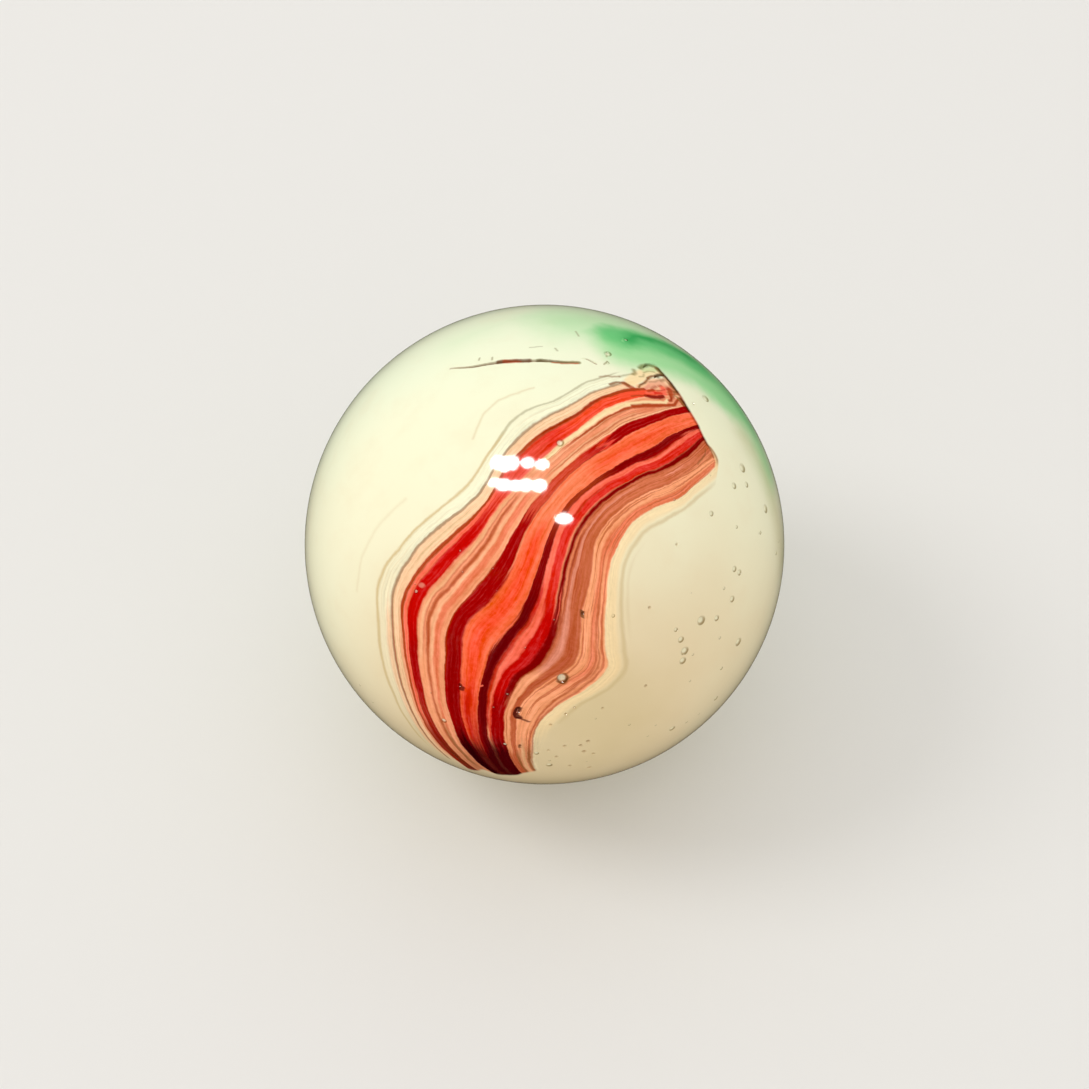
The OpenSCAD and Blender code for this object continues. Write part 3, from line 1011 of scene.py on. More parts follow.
@dataclass(frozen=True)
class Ribbon:
    """The ribbon: the guide lines that it follows and the strands across it.

    Args:
        first_turn: Turn of each guide line's first station, in degrees.
        step: Degrees from one station to the next.
        guides: Each guide line's tilt at its stations.
        cut: The pinched edge at its start.
        neck: Its far edge.
        strands: Its strands, each laid over those before it.
        knot: The crumpled strokes at its outer corner, beside the cut.
        blots: Small dark and pale blots along it.
        streak: How much the fine streaks lighten and darken the strands.
        streaked: The measures between which they show.
        dirt: How dark the dirt along the cut is.
        dirty: The measures between which it lies.
        dirt_turns: How far past the cut it begins and ends, in degrees.
        cut_fade: How far past the cut the ribbon begins to show and is full.
        neck_fade: How far past the neck it begins to fade and is gone.
    """

    first_turn: float = 10
    step: float = 10
    guides: tuple[tuple[float, ...], ...] = (
        (44.5, 42.5, 41.5, 42.0, 42.5, 41.0, 37.0, 33.0, 29.5, 27.5, 30.0, 37.0, 42.0, 45.0, 47.5, 49.0),
        (47.5, 45.5, 44.0, 45.5, 46.0, 44.5, 41.0, 37.5, 34.5, 32.0, 35.0, 42.0, 46.5, 48.5, 50.5, 51.5),
        (49.5, 48.0, 47.5, 49.0, 50.0, 49.5, 45.5, 43.0, 40.5, 39.5, 45.0, 50.0, 51.0, 52.0, 53.0, 53.5),
        (54.0, 51.5, 51.0, 52.5, 53.5, 53.5, 51.5, 48.5, 46.0, 46.0, 50.5, 53.0, 54.0, 54.5, 55.0, 55.5),
        (57.0, 56.0, 55.0, 56.5, 58.0, 58.5, 56.5, 54.0, 53.0, 55.0, 57.0, 57.5, 58.0, 58.0, 58.5, 59.0),
        (58.0, 57.5, 57.0, 58.0, 59.0, 59.5, 58.0, 56.0, 55.5, 58.0, 59.0, 59.5, 60.0, 60.0, 60.0, 60.0),
        (61.5, 61.5, 62.0, 62.5, 63.5, 63.5, 63.0, 61.5, 63.0, 66.0, 64.5, 64.0, 63.5, 62.5, 61.5, 61.0),
        (63.5, 63.5, 64.5, 65.0, 65.5, 66.0, 65.5, 65.0, 67.0, 69.5, 68.5, 67.5, 66.5, 65.5, 64.0, 62.5),
        (66.0, 68.0, 70.0, 70.0, 70.5, 71.0, 71.5, 72.0, 74.5, 77.0, 75.5, 73.5, 72.0, 70.0, 68.0, 66.5),
        (67.5, 70.5, 73.0, 73.0, 75.0, 75.5, 74.5, 76.5, 80.0, 82.0, 79.5, 77.0, 75.0, 73.0, 70.5, 69.0),
        (72.0, 73.5, 75.0, 76.0, 78.0, 78.0, 77.0, 80.5, 84.0, 85.0, 82.5, 80.0, 77.5, 75.5, 73.0, 71.5),
        (74.5, 76.5, 78.0, 79.0, 82.0, 81.0, 80.5, 84.0, 87.5, 89.5, 87.0, 84.5, 81.5, 78.5, 75.5, 73.0),
    )
    cut: Edge = Edge(5, 15, (
        (0, 12), (0.5, 10), (0.9, 8.8), (1.3, 8), (1.9, 7.6), (2.5, 8.4), (3, 9.5), (5, 9.4), (7, 9.6),
        (9, 9.3), (10.5, 9.3), (12, 9.5),
    ))
    neck: Edge = Edge(140, 20, (
        (0, 150), (0.9, 155), (2.2, 156), (2.9, 156.5), (3.5, 158), (5, 158.3), (6.9, 158), (7.4, 155),
        (8, 157), (8.9, 157.5), (9.6, 153), (12, 150),
    ))
    strands: tuple[Strand, ...] = (
        # The peach ground and the halo line.
        Strand(Glass.SAND, (0.25, 1.1), (2, 132), 0.75, soft=0.25, fade=8),
        Strand(Glass.TAN, (-0.14, 0.12), (14, 126), 0.6, soft=0.12, fade=8),
        Strand(Glass.TAN, (-0.6, -0.4), (55, 80), 0.25, soft=0.15, fade=8),
        Strand(Glass.SALMON, (1.04, 9.02)),
        Strand(Glass.APRICOT, (1, 2.1), strength=0.95),
        Strand(Glass.PEACH, (7, 8.1), soft=0.05),
        Strand(Glass.PEACH, (8.9, 9.95), (21, 150), 0.85, soft=0.12, fade=2),
        # The terracotta band at the inner edge, with its fine lines.
        Strand(Glass.TERRACOTTA, (0.88, 1.42), (4, 62), 0.9, (0.14, 0.1), 0.08, 6),
        Strand(Glass.RUST, (0.86, 0.94), (14, 30), 0.6, (0.06, 0.06), 0.04),
        Strand(Glass.TERRACOTTA, (1.02, 1.22), (54, 82), 0.8, (0.1, -0.02), 0.06, 5),
        Strand(Glass.TERRACOTTA, (1.34, 1.62), (54, 108), 0.8, (0.04, 0), 0.1, 5),
        Strand(Glass.ORANGE, (1.25, 1.33), (36, 62), 0.4, soft=0.04),
        Strand(Glass.RUST, (1.08, 1.17), (76, 106), 0.8, (0.02, 0.02), 0.04),
        Strand(Glass.SIENNA, (1.27, 1.34), (76, 106), 0.6, (-0.04, -0.04), 0.04),
        Strand(Glass.SIENNA, (1.12, 1.2), (104, 150), 0.7, (-0.28, -0.26), 0.05),
        Strand(Glass.SIENNA, (1.3, 1.38), (104, 128), 0.7, (-0.2, -0.18), 0.05),
        Strand(Glass.SIENNA, (1.08, 1.2), (126, 152), 0.7, (0.04, 0.08), 0.05),
        Strand(Glass.RUST, (1.04, 1.98), strength=0.75, soft=0.04, veined=True),
        # The rust band, with its pale lines.
        Strand(Glass.RUST, (2.06, 3.05), soft=0.08),
        Strand(Glass.SALMON, (2.1, 2.95), (10, 58), 0.35, soft=0.15, fade=8),
        Strand(Glass.APRICOT, (2.04, 2.36), (9, 26), 0.5, (0, -0.1), 0.12),
        Strand(Glass.SIENNA, (2.34, 2.46), (10, 24), 0.7, (-0.16, -0.2), 0.05),
        Strand(Glass.SIENNA, (2.1, 2.98), strength=0.5, soft=0.04, veined=True),
        Strand(Glass.SIENNA, (2.02, 2.11), strength=0.5, soft=0.05),
        Strand(Glass.SIENNA, (2.2, 2.5), (84, 126), 0.45, soft=0.12, fade=8),
        Strand(Glass.PINK, (2.62, 2.72), (22, 30), 0.7, (0, -0.06), 0.04, 2),
        Strand(Glass.SIENNA, (2.48, 2.58), (37, 60), 0.4, soft=0.05),
        Strand(Glass.PINK, (2.66, 2.74), (43, 84), 0.65, (-0.04, 0.04), 0.04),
        Strand(Glass.PINK, (2.6, 2.82), (82, 122), 0.8, (0, 0.1), 0.1, 4),
        Strand(Glass.MAROON, (2.8, 2.9), (62, 88), 0.55, (0.1, 0.08), 0.04),
        Strand(Glass.SALMON, (2.91, 3.05), (58, 84), 0.8, soft=0.04),
        Strand(Glass.APRICOT, (2.5, 2.95), (106, 142), 0.85, soft=0.08),
        Strand(Glass.SIENNA, (2.76, 2.84), (124, 134), 0.6, soft=0.05),
        Strand(Glass.SALMON, (1.4, 2), (136, 158), 0.5, soft=0.15),
        Strand(Glass.BROWN, (1.88, 2.22), (142, 160), 0.75, soft=0.12),
        # The first red band between its maroon line and its coral line.
        Strand(Glass.SCARLET, (3.28, 3.75), (0, 92)),
        Strand(Glass.RED, (3.14, 3.76), (84, 126), fade=5),
        Strand(Glass.CRIMSON, (3, 3.76), (118, 165), fade=4),
        Strand(Glass.SIENNA, (3.59, 3.66), (46, 60), 0.6, soft=0.04),
        Strand(Glass.MAROON, (3.02, 3.32), (0, 62), drift=(0.02, -0.1)),
        Strand(Glass.MAROON, (3.02, 3.18), (60, 118), drift=(-0.02, 0.12)),
        Strand(Glass.CORAL, (3.07, 3.12), (79, 88), 0.8, soft=0.03, fade=2),
        Strand(Glass.CORAL, (3.72, 4.02), (0, 90)),
        Strand(Glass.CORAL, (3.6, 3.86), (86, 105), drift=(0.04, 0), fade=4),
        Strand(Glass.CORAL, (3.68, 3.86), (102, 124), 0.9, (0.04, -0.02), 0.06, 2),
        Strand(Glass.SCARLET, (3.7, 3.84), (122, 138), 0.8, (0.06, 0.04), 0.05, 4),
        Strand(Glass.RED, (3.86, 4.02), (80, 130), 0.85, soft=0.05),
        # The maroon band.
        Strand(Glass.MAROON, (3.98, 5.02)),
        Strand(Glass.CRIMSON, (3.92, 4.12), (17, 30), 0.7, soft=0.06),
        Strand(Glass.CRIMSON, (4.02, 4.25), (18, 46), 0.5, soft=0.1),
        # Paler over turns 47 to 66, beside the highlights: partly the band's own colour, partly a painted
        # haze of light round the highlights.
        Strand(Glass.SIENNA, (4.05, 4.9), (47, 66), 0.65, soft=0.15, fade=5),
        Strand(Glass.CORAL, (3.98, 4.3), (13.5, 17), 0.7, (-0.1, 0.1), 0.1, 1.5),
        Strand(Glass.PLUM, (4.08, 4.86), (84, 165), 0.5, soft=0.18, fade=6),
        # The orange band with its hot core.
        Strand(Glass.ORANGE, (5, 6)),
        Strand(Glass.ORANGE, (4.76, 5.05), (92, 101), 0.9, soft=0.08, fade=4),
        Strand(Glass.VERMILION, (5.34, 5.66), (20, 48), 0.55, soft=0.16, fade=6),
        Strand(Glass.VERMILION, (5.28, 5.72), (66, 124), 0.85, (-0.06, 0.04), 0.18, 6),
        # Paler over turns 47 to 68, beside the highlights: partly the band's own colour, partly a painted
        # haze of light round the highlights.
        Strand(Glass.APRICOT, (5.04, 5.96), (47, 68), 0.3, soft=0.15, fade=5),
        Strand(Glass.SCARLET, (5.05, 5.95), (116, 140), 0.55, soft=0.1, fade=5),
        Strand(Glass.RED, (5.42, 5.76), (118, 140), 0.7, soft=0.08, fade=5),
        # The dark red band.
        Strand(Glass.CRIMSON, (6.02, 6.9), (0, 22), drift=(0, 0.06)),
        Strand(Glass.CRIMSON, (6.02, 6.97), (20, 38.6), fade=1),
        Strand(Glass.SCARLET, (6.02, 6.97), (38, 41), 0.9, fade=1),
        Strand(Glass.CRIMSON, (6.05, 6.92), (40.8, 69), fade=1),
        # Paler over turns 42 to 70, beside the highlights: partly the band's own colour, partly a painted
        # haze of light round the highlights.
        Strand(Glass.SCARLET, (6.1, 6.9), (42, 70), 0.55, soft=0.14, fade=5),
        Strand(Glass.TERRACOTTA, (6.04, 6.94), (47, 68), 0.3, soft=0.14, fade=5),
        Strand(Glass.CRIMSON, (6.14, 6.98), (67, 84), drift=(-0.12, 0), fade=2),
        Strand(Glass.CRIMSON, (5.93, 7), (81, 106), fade=4),
        Strand(Glass.CRIMSON, (5.97, 7), (102, 165), fade=4),
        Strand(Glass.MAROON, (6.1, 6.8), (100, 165), 0.5, soft=0.15, fade=8),
        Strand(Glass.SIENNA, (6.9, 6.99), (80, 114), 0.6, soft=0.04),
        # The peach band with its fine rust lines.
        Strand(Glass.APRICOT, (7.04, 7.2), (20, 60), 0.6, soft=0.05),
        Strand(Glass.RUST, (7.19, 7.28), (22, 58), 0.85, (-0.04, -0.04), 0.04),
        Strand(Glass.SALMON, (7.29, 7.58), (18, 62), 0.85),
        Strand(Glass.SIENNA, (7.06, 7.96), strength=0.45, soft=0.04, veined=True),
        Strand(Glass.SIENNA, (7.58, 7.7), (25, 50), 0.95, (0.03, 0.03), 0.04, 2),
        Strand(Glass.SALMON, (7.6, 7.75), (47, 66), 0.6),
        Strand(Glass.SAND, (7.74, 7.95), (23, 56), 0.9, (0.06, 0.04), 0.04),
        Strand(Glass.APRICOT, (7.02, 8.02), (56, 170), 0.7, fade=6),
        Strand(Glass.SALMON, (7.02, 8.12), (56, 170), 0.55, soft=0.05, fade=6),
        Strand(Glass.TERRACOTTA, (7.1, 8.02), (9, 25), 0.6, soft=0.1),
        Strand(Glass.TERRACOTTA, (7.18, 7.4), (62, 112), 0.95, soft=0.06),
        Strand(Glass.PEACH, (7.42, 7.54), (62, 112), 0.5, soft=0.05),
        Strand(Glass.SIENNA, (7.59, 7.71), (64, 110), 0.8, soft=0.05),
        Strand(Glass.RUST, (7.77, 7.84), (64, 108), 0.75, soft=0.04),
        Strand(Glass.SAND, (7.83, 7.94), (66, 112), 0.3, soft=0.05),
        Strand(Glass.TERRACOTTA, (7.2, 7.32), (108, 136), 0.9, (0.1, 0.1)),
        Strand(Glass.SIENNA, (7.56, 7.66), (106, 152), 0.65, (-0.1, -0.06), 0.05),
        Strand(Glass.BROWN, (7.34, 7.54), (134, 152), 0.75, soft=0.08, fade=5),
        Strand(Glass.APRICOT, (7.7, 7.96), (112, 150), 0.6, soft=0.05),
        # The second red band above its rust line.
        Strand(Glass.POPPY, (8.04, 8.98), (17, 50), fade=2),
        Strand(Glass.SCARLET, (8.24, 8.38), (24, 44), 0.4, (-0.04, 0.04), 0.1),
        Strand(Glass.SCARLET, (8, 8.95), (44, 80), 0.85, fade=4),
        Strand(Glass.RED, (8.05, 8.66), (72, 126), soft=0.08, fade=6),
        Strand(Glass.CRIMSON, (8.02, 8.62), (108, 165), 0.9, (-0.04, 0), 0.08, 6),
        Strand(Glass.CORAL, (8.67, 8.9), (66, 134), 0.9, drift=(0.02, -0.02)),
        Strand(Glass.CRIMSON, (8.6, 8.9), (134, 165), 0.7, soft=0.08, fade=5),
        Strand(Glass.SIENNA, (8.88, 9.1), (20, 158), soft=0.06, fade=1.5),
        Strand(Glass.SIENNA, (8.8, 9.2), (13, 50), 0.8, (0.04, -0.06), 0.08),
        Strand(Glass.MAROON, (8.92, 9.08), (20, 50), 0.4, soft=0.05),
        Strand(Glass.MAROON, (8, 9.05), (136, 165), 0.7, soft=0.1, fade=6),
        Strand(Glass.UMBER, (8.1, 8.6), (142, 165), 0.5, soft=0.2, fade=6),
        Strand(Glass.BROWN, (7.1, 7.95), (144, 165), 0.45, soft=0.2, fade=6),
        # The brown line and the tan line outside it.
        Strand(Glass.TAN, (9.1, 9.9), (21, 150), 0.4, soft=0.05, veined=True),
        Strand(Glass.TAN, (10.2, 10.9), (24, 150), 0.25, soft=0.05, veined=True),
        Strand(Glass.TERRACOTTA, (9.04, 9.36), (106, 150), 0.55, soft=0.12, fade=6),
        Strand(Glass.APRICOT, (10.05, 10.4), (104, 150), 0.4, soft=0.12, fade=6),
        Strand(Glass.BROWN, (9.88, 10.09), (24.5, 152), 0.72, soft=0.07, fade=1),
        Strand(Glass.SIENNA, (9.9, 10.04), (104, 150), 0.45, soft=0.06, fade=5),
        Strand(Glass.KHAKI, (10.94, 11.1), (24, 60), 0.5, soft=0.08, fade=2),
        Strand(Glass.TAN, (10.92, 11.12), (56, 146), 0.85, soft=0.09, fade=3),
        Strand(Glass.BROWN, (0.98, 1.34), (140, 160), 0.8, soft=0.1, fade=5),
        Strand(Glass.TAN, (1.44, 1.8), (138, 160), 0.5, soft=0.12, fade=5),
        # The neck, where the middle strands run together.
        Strand(Glass.PLUM, (2.98, 7.02), (138, 170), 0.95, soft=0.08, fade=5),
        Strand(Glass.SOOT, (6.2, 6.9), (134, 160), 0.7, soft=0.15, fade=5),
        Strand(Glass.CRIMSON, (4.6, 5.4), (128, 142), 0.5, soft=0.3, fade=6),
    )
    knot: tuple[Stroke, ...] = (
        # The pale glass under the fold, and the pink and red glass inside it.
        Stroke(Glass.SAND, ((11, 10.8), (14.5, 10.6), (18, 10.2), (21, 9.9)), 1.5, 1.2, 0.85),
        Stroke(Glass.MINT, ((10, 11), (14.5, 10.9)), 0.8, 1.4, 0.45),
        Stroke(Glass.PEACH, ((10.6, 9.6), (14, 9.6), (17, 9.5)), 0.9, 0.9, 0.85),
        Stroke(Glass.PEACH, ((13.5, 9.1), (17, 9.2), (20, 9.2)), 0.9, 0.7, 0.95),
        Stroke(Glass.PINK, ((12.5, 9.5), (16.5, 9.4)), 0.7, 0.9, 0.5),
        Stroke(Glass.SALMON, ((10.4, 9.2), (13.5, 9.1)), 0.6, 0.8, 0.85),
        Stroke(Glass.POPPY, ((17.6, 8.6), (22, 8.55), (26, 8.6)), 0.9, 0.8, 0.85),
        Stroke(Glass.BROWN, ((10.2, 8.2), (10.6, 8.8), (10, 9.5)), 0.7, 0.9, 0.5),
        Stroke(Glass.PEACH, ((10.6, 7.95), (12.4, 7.9)), 0.35, 0.6, 0.9),
        Stroke(Glass.SIENNA, ((12.6, 8), (12.4, 8.5), (11.8, 9)), 0.75, 0.9, 0.85),
        Stroke(Glass.CORAL, ((14.6, 8.3), (14.3, 8.7), (13.6, 9.05)), 0.8, 0.9, 0.9),
        Stroke(Glass.SCARLET, ((15.6, 8.4), (17.4, 8.4)), 0.65, 0.7, 0.85),
        Stroke(Glass.CORAL, ((17.9, 8.45), (19.4, 8.5)), 0.45, 0.6, 0.8),
        Stroke(Glass.SIENNA, ((16.9, 8.85), (18.7, 8.65)), 0.4, 0.6, 0.85),
        Stroke(Glass.CRIMSON, ((15.4, 9.2), (17.2, 9)), 0.35, 0.6, 0.55),
        Stroke(Glass.PINK, ((17.3, 9.25), (19.2, 8.98)), 0.4, 0.6, 0.8),
        Stroke(Glass.SIENNA, ((13.4, 9.35), (14.6, 9.25)), 0.22, 0.5, 0.55),
        Stroke(Glass.CRIMSON, ((11.6, 9.15), (12.6, 9.05)), 0.25, 0.5, 0.5),
        # The lines of the fold's upper side.
        Stroke(Glass.MAROON, ((10, 6.4), (10.3, 7.2)), 0.8, 0.8, 0.85),
        Stroke(Glass.SIENNA, ((10.4, 7.2), (10.8, 7.6)), 0.75, 0.7, 0.9),
        Stroke(Glass.UMBER, ((9.8, 6.2), (9.9, 7), (10.2, 7.7)), 0.35, 0.6, 0.7),
        Stroke(Glass.SAND, ((14.8, 7.68), (16.3, 7.48), (18.7, 7.6), (21.3, 7.68),
                             (27, 7.82)), 0.32, 0.4, 0.95),
        Stroke(Glass.SIENNA, ((10.8, 7.7), (12.4, 7.45), (13.7, 7.22), (16, 7.26), (18.7, 7.36),
                               (22.2, 7.54), (26, 7.65)), 0.36, 0.45, 0.95),
        Stroke(Glass.SIENNA, ((14.6, 7.62), (13.8, 7.62), (13.1, 7.85), (12.7, 8.3)), 0.32, 0.5, 0.9),
        Stroke(Glass.MAROON, ((13.9, 7.62), (13.2, 7.85)), 0.14, 0.4, 0.6),
        Stroke(Glass.MAROON, ((15.5, 8), (17, 7.93), (19.2, 8.02), (20.4, 8.16)), 0.5, 0.5, 0.95),
        Stroke(Glass.SIENNA, ((20.4, 8.16), (22, 8.3), (24, 8.36)), 0.28, 0.5, 0.75),
        Stroke(Glass.KHAKI, ((10.3, 6.95), (10.9, 7.45), (11.2, 7.95)), 0.26, 0.5, 0.6),
        Stroke(Glass.BROWN, ((11.6, 8.05), (11.2, 8.45), (10.8, 8.85)), 0.3, 0.5, 0.6),
        # The dirty lines of its outer side.
        Stroke(Glass.BROWN, ((11.2, 9.78), (12.5, 9.72)), 0.3, 0.6, 0.6),
        Stroke(Glass.BROWN, ((12.4, 10.15), (14.2, 10.1), (15.6, 9.95)), 0.36, 0.6, 0.9),
        Stroke(Glass.UMBER, ((10.4, 10.28), (11.4, 10.28), (12.4, 10.12)), 0.6, 0.8, 0.75),
        Stroke(Glass.BROWN, ((15.6, 9.95), (17.5, 9.6), (19.4, 9.42), (20.3, 9.2)), 0.24, 0.5, 0.9),
        Stroke(Glass.UMBER, ((17.6, 9.58), (19.3, 9.42)), 0.14, 0.4, 0.5),
        Stroke(Glass.SIENNA, ((19.4, 8.95), (21, 9.02), (23.4, 9.15), (26, 9.1), (29, 9)), 0.42, 0.5, 0.95),
        Stroke(Glass.SIENNA, ((22, 9.2), (22.6, 9.6), (23, 9.95)), 0.62, 0.7, 0.85),
        Stroke(Glass.BROWN, ((22.4, 9.6), (23, 9.95), (24.4, 10.2), (26.5, 10.18)), 0.34, 0.5, 0.85),
        Stroke(Glass.MOSS, ((9.9, 11.1), (10.6, 11.42), (12, 11.55), (13.8, 11.42),
                             (15.2, 11.15)), 0.55, 0.9, 0.85),
        Stroke(Glass.BROWN, ((10.2, 8.6), (10.1, 9.4), (10.1, 10.2), (10.2, 11.1)), 0.6, 0.8, 0.8),
        Stroke(Glass.UMBER, ((9.8, 8.8), (9.7, 9.6), (9.7, 10.4), (9.8, 11)), 0.3, 0.7, 0.75),
        Stroke(Glass.SALMON, ((10.6, 9), (10.8, 9.25)), 0.2, 0.5, 0.7),
        Stroke(Glass.KHAKI, ((12, 10.65), (13.6, 10.75), (15.4, 10.6)), 0.2, 0.6, 0.5),
        Stroke(Glass.BROWN, ((13, 9.75), (14.6, 9.6), (16.2, 9.62)), 0.18, 0.5, 0.45),
        Stroke(Glass.KHAKI, ((15.8, 10.4), (16.6, 10.15), (17.6, 10.2)), 0.22, 0.6, 0.5),
        Stroke(Glass.CRIMSON, ((13.4, 9), (14.8, 8.8), (16, 8.72)), 0.2, 0.5, 0.55),
        Stroke(Glass.PEACH, ((10.3, 9.62), (10.5, 9.85)), 0.16, 0.5, 0.6),
        Stroke(Glass.MOSS, ((9.9, 10.5), (10, 11.1)), 0.45, 0.8, 0.7),
        Stroke(Glass.KHAKI, ((17.5, 10.95), (17.9, 10.65), (18.6, 10.55)), 0.45, 0.9, 0.7),
        Stroke(Glass.KHAKI, ((18.6, 10.6), (20.5, 10.6), (22.5, 10.65)), 0.2, 0.6, 0.55),
        Stroke(Glass.BROWN, ((22.6, 10.65), (24.2, 10.8), (25.4, 11.05), (27, 11.12)), 0.24, 0.6, 0.65),
        # The loops at the inner corner.
        Stroke(Glass.BROWN, ((11.2, 2.62), (12.2, 2.42), (14.5, 2.3), (17, 2.22)), 0.14, 0.4, 0.7),
        Stroke(Glass.SAND, ((8.4, 2.7), (7.9, 2.1), (8.2, 1.4), (9.4, 0.8)), 0.8, 1, 0.9),
        Stroke(Glass.BROWN, ((9.8, 2.9), (9.2, 2.4), (9.2, 2)), 0.22, 0.6, 0.6),
        Stroke(Glass.RUST, ((9.2, 2.1), (9.4, 1.5), (10.6, 1.05)), 0.2, 0.7, 0.45),
    )
    blots: tuple[Stroke, ...] = (
        Stroke(Glass.PLUM, ((120.6, 2.12), (123.4, 2.14), (124.6, 1.98)), 0.6, 0.35, 0.9),
        Stroke(Glass.PLUM, ((124.6, 1.98), (126.4, 1.48)), 0.25, 0.35, 0.75),
        Stroke(Glass.PINK, ((121.8, 2.04), (122.6, 2.04)), 0.12, 0.25, 0.8),
        Stroke(Glass.UMBER, ((81.6, 2.06), (83.4, 2)), 0.28, 0.4, 0.8),
        Stroke(Glass.BROWN, ((104.8, 1.96), (106.4, 1.72), (109.4, 1.6), (108.6, 1.78), (106.2, 1.95),
                              (104.8, 1.96)), 0.12, 0.3, 0.85),
        Stroke(Glass.UMBER, ((138, 1.8), (139, 1.8)), 0.35, 0.4, 0.7),
        Stroke(Glass.CORAL, ((114.8, 4.75), (115.2, 4.95)), 0.3, 0.3, 0.8),
        Stroke(Glass.PLUM, ((117, 5.88), (117.8, 5.92)), 0.4, 0.35, 0.8),
        Stroke(Glass.PINK, ((94.9, 8.45), (95.2, 8.47)), 0.4, 0.45, 0.6),
    )
    streak: float = 0.28
    streaked: Pair = (0.6, 10.6)
    dirt: float = 0.7
    dirty: Pair = (1.2, 11.4)
    dirt_turns: Pair = (-0.4, 0.8)
    cut_fade: Pair = (-0.6, 0.4)
    neck_fade: Pair = (-0.8, 0.8)

    # Degrees of tilt that a guide line's curve counts as 1.
    FULL_TILT = 100

    def ladder(self) -> Tree:
        """Builds the group that turns a place into its measure across the ribbon.

        Returns:
            A group from Turn and Tilt to Across, which is a whole number on each guide line.
        """
        wires = Wiring.group("Ribbon Ladder", {"Turn": "Float", "Tilt": "Float"}, {"Across": "Float"})
        last = len(self.guides[0]) - 1
        place = wires.math("DIVIDE", wires.minus(wires.entry["Turn"], self.first_turn), self.step * last)
        place = wires.limit(place)
        tilt = wires.math("DIVIDE", wires.entry["Tilt"], self.FULL_TILT)
        lines = [
            wires.curve(place, [(i / last, value / self.FULL_TILT) for i, value in enumerate(line)])
            for line in self.guides
        ]
        across = None
        for low, high in zip(lines, lines[1:]):
            share = wires.math("DIVIDE", wires.minus(tilt, low), wires.minus(high, low))
            if low is lines[0]:
                share = wires.math("MINIMUM", share, 1)
            elif high is lines[-1]:
                share = wires.math("MAXIMUM", share, 0)
            else:
                share = wires.limit(share)
            across = share if across is None else wires.math("ADD", across, share)
        wires.feed(wires.leave["Across"], across)
        return wires.tree

    @staticmethod
    def flow_group() -> Tree:
        """Builds the group that gives a place in the ribbon its fine streaks and veins.

        Returns:
            A group from Turn and Across to both, wavered, and to Streaks and Veins.
        """
        outputs = {"Turn": "Float", "Across": "Float", "Streaks": "Float", "Veins": "Float"}
        wires = Wiring.group("Ribbon Flow", {"Turn": "Float", "Across": "Float"}, outputs)
        entry = wires.entry

        def grain(length: float, width: float, detail: float) -> Socket:
            """Makes noise whose grains are drawn out along the ribbon.

            Args:
                length: The grains' length in degrees.
                width: Their width in measures.
                detail: How many finer layers it has.

            Returns:
                The noise, about 0.
            """
            along = wires.math("DIVIDE", entry["Turn"], length)
            flow = wires.flat(along, wires.math("DIVIDE", entry["Across"], width))
            return wires.minus(wires.noise(flow, 1, detail, 0.6, "2D"), 0.5)

        wires.feed(wires.leave["Across"], wires.fit(grain(6, 0.25, 2), 0.1, entry["Across"]))
        wires.feed(wires.leave["Turn"], wires.fit(grain(30, 0.16, 2), 9, entry["Turn"]))
        wires.feed(wires.leave["Streaks"], wires.fit(grain(1.6, 0.2, 3), 0.45, grain(16, 0.16, 4)))
        wires.feed(wires.leave["Veins"], wires.ramp(grain(34, 0.11, 2), 0.04, 0.14))
        return wires.tree

    def lay(self, pen: Pen, under: Socket, place: tuple[Socket, Socket], groups: dict[str, Tree]) -> Socket:
        """Lays the strands, the knot, the blots and the dirty edge that reach the zone over the base glass.

        Args:
            pen: The pen of the ball, which knows the zone.
            under: The base glass's colour.
            place: The place's turn and tilt.
            groups: The shared groups by name.

        Returns:
            The colour of the glass with the ribbon in it.
        """
        wires, zone, (turn, tilt) = pen.wires, pen.zone, place
        across = wires.place(groups["ladder"], Turn=turn, Tilt=tilt)["Across"]
        made = wires.place(groups["flow"], Turn=turn, Across=across)
        flow = Flow(wires, zone, *(made[name] for name in ("Turn", "Across", "Streaks", "Veins")))
        colour = under
        for strand in self.strands:
            if zone.meets(*strand.turns):
                colour = strand.lay(colour, flow)
        fine = wires.times(flow.streaks, wires.window(across, *self.streaked, 0.6))
        inputs = {"Color": colour, "Saturation": wires.fit(fine, -0.6 * self.streak, 1),
                  "Value": wires.fit(fine, 2 * self.streak, 1)}
        colour = wires.call("ShaderNodeHueSaturation", inputs)
        fine_pen = Pen(wires, groups["stretch"], zone, (turn, across), Pen.IN_RIBBON)
        colour = fine_pen.lay(colour, self.knot + self.blots)
        if zone.meets(self.cut.low, self.cut.low + self.cut.span):
            since = wires.minus(turn, self.cut.draw(wires, across))
            along = wires.window(since, *self.dirt_turns, 0.6)
            rim = wires.times(along, wires.window(across, *self.dirty, 0.5))
            colour = wires.mix(wires.times(rim, self.dirt), colour, Glass.BROWN, "MULTIPLY")
            colour = wires.mix(wires.ramp(since, *self.cut_fade), under, colour)
        if zone.meets(self.neck.low, self.neck.low + self.neck.span):
            past = wires.minus(turn, self.neck.draw(wires, across))
            colour = wires.mix(wires.ramp(past, *self.neck_fade), colour, under)
        return colour


# ---- The marble's glass ----


